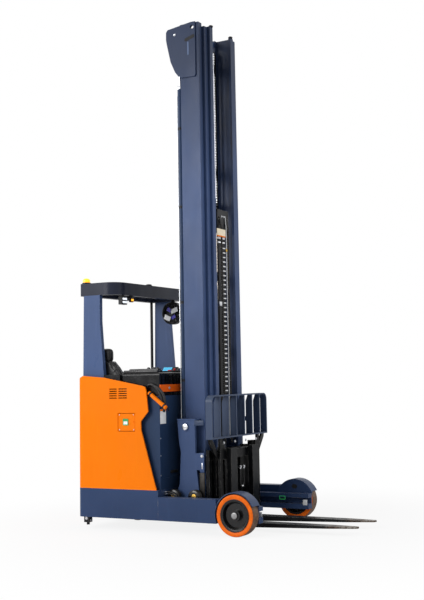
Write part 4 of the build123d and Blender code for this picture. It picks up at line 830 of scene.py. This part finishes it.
def handle_details():
    """Black cuffs and the two corrugated hoses that arch over the grab handle."""
    high, low = Vector((-0.505, -0.62, 1.198)), Vector((-0.33, -0.62, 1.066))
    along = (low - high).normalized()
    spots = [high + along * 0.012, low - along * 0.034]
    cuffs = Shape().rods(spots, along * 0.02, 0.0188, 32, 0.002)
    cuffs.done("handle_cuffs", "plastic", slot="black_plastic", smooth=40)
    hoses = Shape()
    for shift in (0, 0.03):
        path = [
            (-0.545 + shift, -0.57, 1.235),
            (-0.52 + shift, -0.6, 1.262),
            (-0.48 + shift, -0.612, 1.268 - shift * 0.4),
            (-0.43 + shift, -0.612, 1.236 - shift * 0.3),
            (-0.392 + shift, -0.61, 1.178),
            (-0.376 + shift * 0.8, -0.602, 1.112),
            (-0.384 + shift * 0.3, -0.585, 1.06 - shift),
        ]
        hoses.tube(smooth_path(path, 16), 0.0125, 14, (0.01, 0.0022))
    hoses.done("corrugated_hoses", "hose", smooth=60)


def door_details():
    """Corner bolts and a blank sticker on the service door."""
    face = -0.6438
    spots = [(x, face, z) for x in (-0.806, -0.655) for z in (0.876, 1.008)]
    Shape().rods(spots, (0, -0.0014, 0), 0.005, 6, 0.0006).done("door_bolts", "zinc", "door")
    outline = round_box((-0.77, 0.915), (-0.712, 0.973), 0.006)
    Shape().prism(outline, "Y", face, -0.6446).done("door_label", "label", "door")
    outline = round_box((-0.762, 0.923), (-0.72, 0.95), 0.004)
    Shape().prism(outline, "Y", -0.6445, -0.6449).done("door_label_patch", "sheet", "door", "orange_paint")


beacon()
roof_details()
rear_details()
display()
work_lamp()
roof_sensor()
fan()
console_details()
bar_bolts()
front_cover_details()
handle_details()
door_details()

# Mast

CYLINDER_X, CYLINDER_Y = -0.327, 0.316
PULLEY_X, PULLEY_Y, PULLEY_Z = -0.265, 0.145, 4.395
HEAD_X, HEAD_CHAIN_Y, HEAD_PULLEY_Z = -0.12, 0.06, 2.704


def header_details():
    """Bolt, a dark sheet painted as the shade in the slot, and oblong on each header plate, and the knobs on
    the inner stage's head.
    """
    face, sunk = 0.36, 0.0005
    Shape().bolt((-0.35, face, 4.482), "+Y", 0.0085, 0.009).both().done("header_bolts", "zinc", "reach")
    # painted shade: a dark sheet fills each header slot, standing for the shade behind it
    slot_shade_sheets = Shape().prism(capsule((-0.228, 4.416), (-0.15, 4.44), 0.0165), "Y", face - sunk, face + 0.001)
    slot_shade_sheets.both().done("header_slot_shade_sheets", "soft", "reach", "black_paint")
    oblong = round_box((-0.214, 4.27), (-0.2, 4.395), 0.0068)
    Shape().prism(oblong, "Y", face - sunk, face + 0.0012).both().done("header_oblong", "grey", "reach")
    knob = [(0, 4.553), (0.017, 4.553), (0.021, 4.558), (0.021, 4.566), (0.015, 4.572), (0, 4.573)]
    knobs = Shape().lathe(knob, (-0.062, 0.187, 0), "Z", 32).both()
    knobs.done("stage_knobs", "black", "inner_stage", smooth=40)


def leaf_chain(plates, pins, path, y, tall, width=0.027, lacing=((0, 2, 4, 6), (1, 3, 5))):
    """A leaf chain through (x, z) points a pitch apart, plates packed across its width."""
    leaf, gap, proud = width / 7, 0.0005, 0.0012
    edge = y - width / 2
    for i in range(len(path) - 1):
        outline = capsule(path[i], path[i + 1], tall / 2, 3, 15)
        for k in lacing[i % 2]:
            plates.prism(outline, "Y", edge + k * leaf, edge + (k + 1) * leaf - gap)
        x, z = path[i]
        pins.rod((x, edge - proud, z), (x, edge + width + proud, z), tall * 0.36, 8)


def chain_path(middle, wheel_z, radius, front_low, rear_low, pitch):
    """Points from the front strand's end, over the pulley, to the rear strand's end."""
    rise = wheel_z - front_low
    total = rise + math.pi * radius + wheel_z - rear_low
    points = []
    for i in range(int(total / pitch) + 1):
        run = i * pitch - rise
        angle = min(max(run / radius, 0), math.pi)
        height = radius * math.sin(angle) - abs(run - angle * radius)
        points.append((middle + radius * math.cos(angle), wheel_z + height))
    return points


def chain_pair(kind, body, y, path, tall):
    """Two leaf chains in place of the CAD's plain ones."""
    close = 0.000001
    plates, pins = Shape(), Shape()
    for side in (-y, y):
        leaf_chain(plates, pins, path, side, tall)
    chain = plates.done(f"{kind}_leaf_chains", "chain", body, smooth=30, doubles=close)
    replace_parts(chain, f"{kind}_chains")
    pins.done(f"{kind}_chain_pins", "zinc", body, "chain_steel", 30, close)


def stage_pulleys():
    """The grooved chain pulleys on the middle stage, each with a hub."""
    radius, half = 0.0425, 0.0165
    profile = [(0.012, half), (0.022, half), (0.024, half - 0.004), (radius - 0.012, half - 0.005)]
    profile += [(radius - 0.008, half), (radius + 0.005, half), (radius + 0.006, half - 0.0015)]
    profile += [(radius, half - 0.0025)]
    profile = [(r, -along) for r, along in profile] + profile[::-1]
    for tag, y in (("right", -PULLEY_Y), ("left", PULLEY_Y)):
        wheel = Shape().lathe(profile, (PULLEY_X, y, PULLEY_Z), "Y", 56, True)
        wheel.done(f"stage_pulley_{tag}", "steel", "middle_stage", smooth=35)


def cylinder_details():
    """Glands, clamps, pipes and their end nuts on the two lift cylinders."""
    x, y = CYLINDER_X, CYLINDER_Y
    gland = [(0.0155, 4.004), (0.024, 4.004), (0.0258, 4), (0.0258, 3.972), (0.0236, 3.968), (0.0155, 3.968)]
    glands = Shape().lathe(gland, (x, y, 0), "Z", 40, True).both()
    glands.done("cylinder_glands", "bright", "reach", smooth=40)
    clamps = Shape()
    for z in (0.7, 1.3, 2.00, 2.87, 3.6):
        ring = [(0.0235, -0.012), (0.0262, -0.012), (0.0262, 0.012), (0.0235, 0.012)]
        clamps.lathe(ring, (x, y, z), "Z", 32, True)
    clamps.box((-0.31, y - 0.01, 1.992), (-0.301, y + 0.01, 2.008), 0.002)
    clamps.both().done("cylinder_clamps", "black", "reach", smooth=40)
    spots = [(-0.3585, 0.322, z) for z in (0.36, 3.9)]
    pipes = Shape().tube(straight_path(*spots, 0.25), 0.0045)
    for spot in spots:
        pipes.lathe([(0, -0.01), (0.0072, -0.01), (0.0072, 0.01), (0, 0.01)], spot, "Z", 6)
    pipes.both().done("cylinder_pipes", "bright", "reach", smooth=40)


def head_details():
    """Bolts, pale plate, orange strip, hoses, clips and white pipe at the free lift's head."""
    body = "lift_head"
    bolts = Shape().bolt((-0.0785, 0.062, 2.77), "+X", 0.012, 0.008)
    bolts.bolt((-0.0785, 0.02, 2.8), "+X", 0.007, 0.006).both().done("head_bolts", "zinc", body)
    collar = [(0.0322, 1.985), (0.038, 1.985), (0.0392, 1.99)]
    collar += [(0.0392, 2.028), (0.038, 2.033), (0.0322, 2.033)]
    collar = Shape().lathe(collar, (HEAD_X, 0, 0), "Z", 40, True)
    collar.done("free_cylinder_collar", "cap", "inner_stage", smooth=35)
    Shape().box((-0.0545, -0.16, 2.612), (-0.049, -0.004, 2.674), 0.0015).done("head_plate", "cream", body)
    Shape().box((-0.079, -0.1, 2.606), (-0.049, -0.03, 2.614), 0.0015).done("head_bracket", "black", body)
    Shape().box((-0.056, -0.158, 2.602), (-0.0485, -0.006, 2.613), 0.0015).done("head_strip", "orange", body)
    x, plain, ribbed = -0.0675, (-0.108, -0.087), (-0.034, -0.012)
    hoses, clips, ferrules = Shape(), Shape(), Shape()
    for y in plain + ribbed:
        ribs, pitch = ((0.022, 0.0022), 0.0044) if y in ribbed else (None, 0.2)
        hoses.tube(straight_path((x, y, 2.606), (x, y, 0.775), pitch), 0.0096, 10, ribs)
        ferrules.rod((x, y, 2.603), (x, y, 2.582), 0.0108, 6, 0.001)
        ferrules.rod((x, y, 2.558), (x, y, 2.545), 0.0104, 24, 0.001)
    for i in range(41):
        z = 2.5 - i * 0.042
        clips.box((-0.078, -0.0455, z - 0.006), (-0.0555, -0.0005, z + 0.006), 0.0015, 1)
    clips.box((-0.078, -0.1195, 1.965), (-0.057, -0.0755, 2.005), 0.002)
    hoses.done("mast_hoses", "hose", body, smooth=70)
    clips.done("hose_clips", "zinc", body)
    ferrules.done("hose_ferrules", "zinc", body)
    x, y = -0.0655, 0.036
    Shape().rod((x, y, 2.5), (x, y, 2.475), 0.0075, 6, 0.001).done("pipe_nut", "brass", body)
    run = [(-0.074, 0.034, 2.81), (-0.07, y, 2.74)] + [(x, y, z) for z in (2.66, 2.2, 1.4, 0.8)]
    Shape().tube(smooth_path(run, 10), 0.0042).done("white_pipe", "white", body, smooth=60)


def stage_pipes():
    """Silver pipes on the middle stage's ties, with clamps."""
    x = -0.285
    pipes, clamps = Shape(), Shape()
    for y in (0.19, 0.205):
        pipes.tube(straight_path((x, y, 0.3), (x, y, 4.2), 0.25), 0.0048)
    for z in (0.245, 1.595, 2.945, 4.2):
        clamps.box((-0.291, 0.183, z - 0.01), (-0.2755, 0.212, z + 0.01), 0.002)
    bend = [(-0.23, 4.395), (-0.212, 4.4), (-0.205, 4.37), (-0.205, 3.8), (-0.205, 3.000)]
    pipes.both().tube(smooth_path([(x, 0.09, z) for x, z in bend]), 0.0058)
    pipes.done("stage_pipes", "bright", "middle_stage", smooth=50)
    clamps.both().done("stage_pipe_clamps", "black", "middle_stage")


def tie_details():
    """Weld beads on the outer ties and nuts on the middle stage's rod brackets."""
    x, end, tall = -0.3005, 0.27, 0.09
    beads = Shape()
    for low in (0.2, 1.2075, 2.215, 3.2225, 4.23):
        for z in (low, low + tall):
            beads.tube(straight_path((x, -end, z), (x, end, z), 0.01), 0.0022, 6, (0.02, 0.0006))
    beads.done("tie_welds", "mast", "reach", smooth=60)
    x, y = CYLINDER_X, CYLINDER_Y
    nuts = Shape().rod((x, y, 4.494), (x, y, 4.512), 0.016, 6, 0.002)
    nuts.both().done("rod_nuts", "zinc", "middle_stage")


header_details()
route = chain_path(PULLEY_X, PULLEY_Z, radius=0.05, front_low=0.426, rear_low=1.456, pitch=0.0254)
chain_pair("stage", "middle_stage", PULLEY_Y, route, tall=0.0135)
stage_pulleys()
route = chain_path(HEAD_X, HEAD_PULLEY_Z, radius=0.0585, front_low=0.728, rear_low=1.304, pitch=0.016)
chain_pair("carriage", "lift_head", HEAD_CHAIN_Y, route, tall=0.007)
cylinder_details()
head_details()
stage_pipes()
tie_details()

# Reach frame, carriage and forks


def reach_frame_details():
    """Pin caps, cap strips, bolted brackets and shoes on the reach plates."""
    face = 0.43
    cap = [(0, 0.4468), (0.02, 0.4468), (0.027, 0.4445), (0.03, 0.44), (0, 0.44)]
    pins = Shape().lathe(cap, (-0.253, 0, 0.891), "Y").both()
    pins.done("mast_pins", "bright", "reach", "steel", 35)
    strips = Shape().box((-0.16, face, 0.905), (-0.066, 0.4335, 0.948), 0.001)
    strips.both().done("reach_cap_strips", "backrest", "reach")
    brackets = Shape().box((-0.108, face, 0.5), (-0.064, 0.435, 0.668), 0.002)
    brackets.both().done("reach_brackets", "mast", "reach")
    bolts = Shape().bolt((-0.086, 0.435, 0.64), "+Y", 0.01, 0.008)
    bolts.box((-0.09, 0.4348, 0.53), (-0.08, 0.4358, 0.58), 0.0004)
    bolts.both().done("reach_bracket_bolts", "zinc", "reach")
    shoes = Shape().box((-0.112, face, 0.262), (-0.062, 0.4365, 0.498), 0.004)
    shoes.both().done("reach_shoes", "iron", "reach", "black_paint")


def valve_fittings():
    """Silver fittings and short hoses where the hydraulics leave the hull."""
    fittings, hoses = Shape(), Shape()
    for y, z, low, lower, lowest in ((0.525, 0.318, 0.268, 0.256, 0.25), (0.539, 0.338, 0.28, 0.266, 0.258)):
        fittings.rod((-0.411, y, z), (-0.396, y, z), 0.01, 6, 0.0012)
        fittings.rod((-0.397, y, z), (-0.382, y, z), 0.0075, 24, 0.001)
        bend = [(-0.385, z), (-0.36, z - 0.001), (-0.33, z - 0.008), (-0.3, z - 0.02)]
        bend += [(-0.27, low), (-0.2, lower), (-0.15, lowest)]
        hoses.tube(smooth_path([(x, y, height) for x, height in bend]), 0.0062)
    fittings.both().done("valve_fittings", "bright", smooth=35)
    hoses.both().done("valve_hoses", "hose", smooth=60)


def leg_fittings():
    """A dark sheet painted as the shade in the hexagonal hole, the sensor box, and a green sticker frame
    painted glowing on each leg.
    """
    hexagon = [(0.34 + 0.031 * a, 0.298 + 0.023 * b) for a, b in arc((0, 0), 1, 0, 300, 5)]
    # painted shade: a thin dark sheet stands for the shaded hexagonal opening
    Shape().prism(hexagon, "Y", 0.5145, 0.513).both().done("leg_hole_shade_sheets", "soft", slot="hull_paint")
    boxes = Shape().box((0.456, 0.4432, 0.138), (0.498, 0.4505, 0.188), 0.002)
    boxes.both().done("leg_sensors", "white", slot="grey_plastic")
    frames = Shape()
    left, right, under, over, bar = 0.215, 0.275, 0.183, 0.215, 0.004
    for low, high in (((left, under), (right, under + bar)), ((left, over - bar), (right, over)),
                      ((left, under + bar), (left + bar, over - bar)),
                      ((right - bar, under + bar), (right, over - bar))):
        frames.box((low[0], 0.449, low[1]), (high[0], 0.4505, high[1]), 0.0003, 1)
    # painted glow: the green sticker frame is made to glow though it is no lamp
    frames.both().done("leg_sticker_frames_painted_glow", "green")


def carriage_details():
    """Bolts, plates, tilt hose and backrest arms on the fork carriage and the fork holder."""
    bolts = Shape()
    for y in (0.11, 0.33):
        for z in (0.185, 0.64):
            bolts.bolt((-0.015, y, z), "+X", 0.009, 0.0055)
    bolts.both().done("carriage_bolts", "zinc", "lift_carriage")
    low, high = [Vector(corner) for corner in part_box("fork_holder")]
    holder = Shape()
    for y in (0.1, 0.3):
        holder.bolt((high.x, y, high.z - 0.04), "+X", 0.009, 0.007)
    holder.rods([(high.x, 0.045, low.z + 0.06)], (0.01, 0, 0), 0.007)
    holder.both().done("holder_bolts", "zinc", "fork_frame")
    x, y = high.x + 0.01, 0.032
    bend = [(-y, 0.52), (-y, 0.44), (-0.03, 0.37), (0, 0.345), (0.03, 0.37), (y, 0.44), (y, 0.52)]
    hose = Shape().tube(smooth_path([(x, across, z) for across, z in bend]), 0.0065)
    hose.done("tilt_hose", "hose", "fork_frame", smooth=60)
    nuts = Shape().rod((x, y, 0.5), (x, y, 0.53), 0.0105, 6, 0.001)
    nuts.rod((high.x - 0.004, y, 0.52), (x + 0.012, y, 0.52), 0.0095, 24, 0.001).both()
    nuts.rod((x, -0.016, 0.346), (x, 0.016, 0.346), 0.01, 6, 0.001)
    nuts.done("tilt_hose_nuts", "zinc", "fork_frame")
    plates = Shape().box((-0.042, 0.045, 0.19), (-0.026, 0.4, 0.61), 0.002).both()
    plates.box((-0.042, -0.046, 0.5), (-0.026, 0.046, 0.61), 0.002)
    plates.done("carriage_plates", "carriage", "lift_carriage")
    arm = [(0.512, 0.8), (0.47, 0.8), (0.395, 0.69), (0.355, 0.655), (0.355, 0.6), (0.41, 0.64)]
    arms = Shape().prism(arm + [(0.5, 0.755)], "X", 0.018, 0.038, 0.002).both()
    arms.done("backrest_arms", "carriage", "fork_frame", "blue_paint")


reach_frame_details()
valve_fittings()
leg_fittings()
carriage_details()

# Seat


def evaluated(piece):
    """The piece's mesh with its modifiers worked out."""
    graph = bpy.context.evaluated_depsgraph_get()
    return bpy.data.meshes.new_from_object(piece.evaluated_get(graph))


def apply_modifiers(piece):
    """Gives the piece the mesh that its modifiers make."""
    piece.data = evaluated(piece)
    piece.modifiers.clear()


def inflate(piece, pressure, cap, frames=20):
    """Swells the cover under pressure; no point moves further than the cap."""
    start = [vert.co.copy() for vert in piece.data.vertices]
    cloth = piece.modifiers.new("cover", "CLOTH")
    settings = cloth.settings
    settings.quality = 6
    settings.mass = 0.3
    settings.tension_stiffness = 20
    settings.compression_stiffness = 20
    settings.bending_stiffness = 1.5
    settings.use_pressure = True
    settings.uniform_pressure_force = pressure
    settings.effector_weights.gravity = 0.0
    cloth.point_cache.frame_start = 1
    cloth.point_cache.frame_end = frames
    for number in range(1, frames + 1):
        bpy.context.scene.frame_set(number)
    swollen = evaluated(piece)
    piece.modifiers.clear()
    capped = []
    for old, new in zip(start, swollen.vertices):
        move = new.co - old
        if move.length > cap:
            move = move.normalized() * cap
        capped += (old + move)[:]
    piece.data.vertices.foreach_set("co", capped)
    piece.data.update()
    bpy.data.meshes.remove(swollen)
    bpy.context.scene.frame_set(1)


def groove(spot, normal, axis, level, depth, width, facing):
    """How a sewn line across the face that looks along one axis pulls a point in."""
    look = normal[facing]
    if look < 0.2:
        return Vector((0, 0, 0))
    return -normal * depth * look * math.exp(-((spot[axis] - level) / width) ** 2)


def soften(node, shrink, cap, seams, rounding=0, sink=0.0):
    """A padded piece from a CAD solid: shrunk, rounded, swollen by cloth, refined and seamed."""
    low, high = [Vector(corner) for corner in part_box(node)]
    middle = (low + high) / 2
    spare = 0.003
    mesh = nodes[node].data.copy()
    for vert in mesh.vertices:
        vert.co = middle + Vector([(vert.co[i] - middle[i]) * shrink[i] for i in range(3)])
    piece = new_object(f"{node}_soft", mesh)
    voxels = piece.modifiers.new("voxels", "REMESH")
    voxels.mode = "VOXEL"
    voxels.voxel_size = 0.006
    apply_modifiers(piece)
    if rounding:
        rounder = piece.modifiers.new("round", "SMOOTH")
        rounder.factor = 0.8
        rounder.iterations = rounding
        apply_modifiers(piece)
    inflate(piece, 4.0, cap)
    piece.modifiers.new("smooth", "SUBSURF").levels = 1
    apply_modifiers(piece)
    moved = []
    for vert in piece.data.vertices:
        place = vert.co - Vector((0, 0, sink))
        for seam in seams:
            place += groove(vert.co, vert.normal, *seam)
        for i in range(3):
            drop = sink if i == Z else 0
            moved.append(min(max(place[i], low[i] - spare - drop), high[i] + spare - drop))
    piece.data.vertices.foreach_set("co", moved)
    piece.data.update()
    piece.data.materials.clear()
    piece.data.materials.append(FINISH["seat"])
    piece.data.shade_smooth()
    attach(piece, "chassis")
    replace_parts(piece, node)


def seat():
    """Cushion, back and headrest; a seam is its axis, level, depth, width and face."""
    piping = [(X, x, 0.01, 0.006) for x in (-1.165, -0.906)]
    across = [(Y, y, 0.006, 0.005, Z) for y in (-0.28, -0.1)]
    soften("seat_cushion", (0.955, 0.955, 0.86), 0.01, [(*seam, Z) for seam in piping] + across)
    across = [(Z, z, 0.006, 0.005, Y) for z in (0.98, 1.12, 1.26)]
    soften("seat_back", (0.955, 0.86, 0.975), 0.01, [(*seam, Y) for seam in piping] + across)
    soften("headrest", (0.98, 0.96, 0.94), 0.006, [(Z, 1.5, 0.004, 0.004, Y)], 90, 0.03)


seat()

# Studio and camera


def add_camera():
    """The photograph's viewpoint: a place, three angles and a shift of the frame."""
    data = bpy.data.cameras.new("camera")
    data.lens = 61.43
    data.sensor_width = 36.0
    data.shift_x = -0.0678
    data.shift_y = -0.0498
    data.clip_end = 200.0
    place = Matrix.Translation((4.5557, -8.1876, 1.3251))
    yaw, pitch, roll = 27.88, 5.9, -1.26
    for angle, axis in ((yaw, "Z"), (90 + pitch, "X"), (roll, "Z")):
        place = place @ Matrix.Rotation(math.radians(angle), 4, axis)
    camera = new_object("camera", data)
    camera.matrix_world = place
    bpy.context.scene.camera = camera


def add_lamp(name, place, target, size, power):
    """A soft square lamp aimed at a point."""
    data = bpy.data.lights.new(name, "AREA")
    data.size = size
    data.energy = power
    aim = (Vector(target) - Vector(place)).to_track_quat("-Z", "Y")
    new_object(name, data).matrix_world = Matrix.Translation(place) @ aim.to_matrix().to_4x4()


def add_world(level):
    """Even light, shown as white to the camera, to metal and through glass."""
    world = bpy.data.worlds.new("studio")
    bpy.context.scene.world = world
    world.use_nodes = True
    tree = world.node_tree
    rays = add(tree, "LightPath", {})
    other = add(tree, "Math", {0: rays["Is Glossy Ray"], 1: rays["Is Transmission Ray"]}, "MAXIMUM")
    seen = add(tree, "Math", {0: rays["Is Camera Ray"], 1: other[0]}, "MAXIMUM")
    strength = add(tree, "MapRange", {"Value": seen[0], "To Min": level, "To Max": 1.0})["Result"]
    fill(tree, tree.nodes["Background"], {"Color": (1.0, 1.0, 1.0, 1.0), "Strength": strength})


def add_floor():
    """A wide pale floor that fades into the white background."""
    sheet = bmesh.new()
    bmesh.ops.create_grid(sheet, x_segments=40, y_segments=40, size=40.0)
    mesh = bpy.data.meshes.new("floor")
    sheet.to_mesh(mesh)
    sheet.free()
    floor = new_object("floor", mesh)
    floor.location = (0.0, 0.0, -0.0005)
    material = bpy.data.materials.new("floor")
    material.use_nodes = True
    tree = material.node_tree
    tree.nodes.remove(tree.nodes["Principled BSDF"])
    far = add(tree, "VectorMath", {0: add(tree, "NewGeometry", {})["Position"]}, "LENGTH")["Value"]
    fade = tree.nodes.new("ShaderNodeMapRange")
    fade.interpolation_type = "SMOOTHSTEP"
    ends = {"Value": far, "From Min": 1.0, "From Max": 3.6, "To Min": 0.86, "To Max": 1.0}
    whiteness = fill(tree, fade, ends)["Result"]
    seen = add(tree, "LightPath", {})["Is Camera Ray"]
    shown = add(tree, "Math", {0: whiteness, 1: seen}, "MULTIPLY")[0]
    matt = add(tree, "BsdfDiffuse", {"Color": (0.86, 0.86, 0.87, 1.0)})[0]
    mixed = add(tree, "MixShader", {0: shown, 1: matt, 2: add(tree, "Emission", {})[0]})
    fill(tree, tree.nodes["Material Output"], {0: mixed[0]})
    mesh.materials.append(material)


add_camera()
add_world(0.4)
add_lamp("key_lamp", (-3.6, -7.5, 4.3), (-0.3, 0.0, 1.6), 4.4, 370.0)
add_lamp("side_lamp", (-7.0, -2.5, 4.0), (-0.6, 0.0, 1.6), 4.0, 150.0)
add_lamp("front_lamp", (6.5, 1.5, 5.0), (0.0, 0.0, 1.5), 4.0, 170.0)
add_floor()
bpy.context.scene.view_settings.view_transform = "Standard"
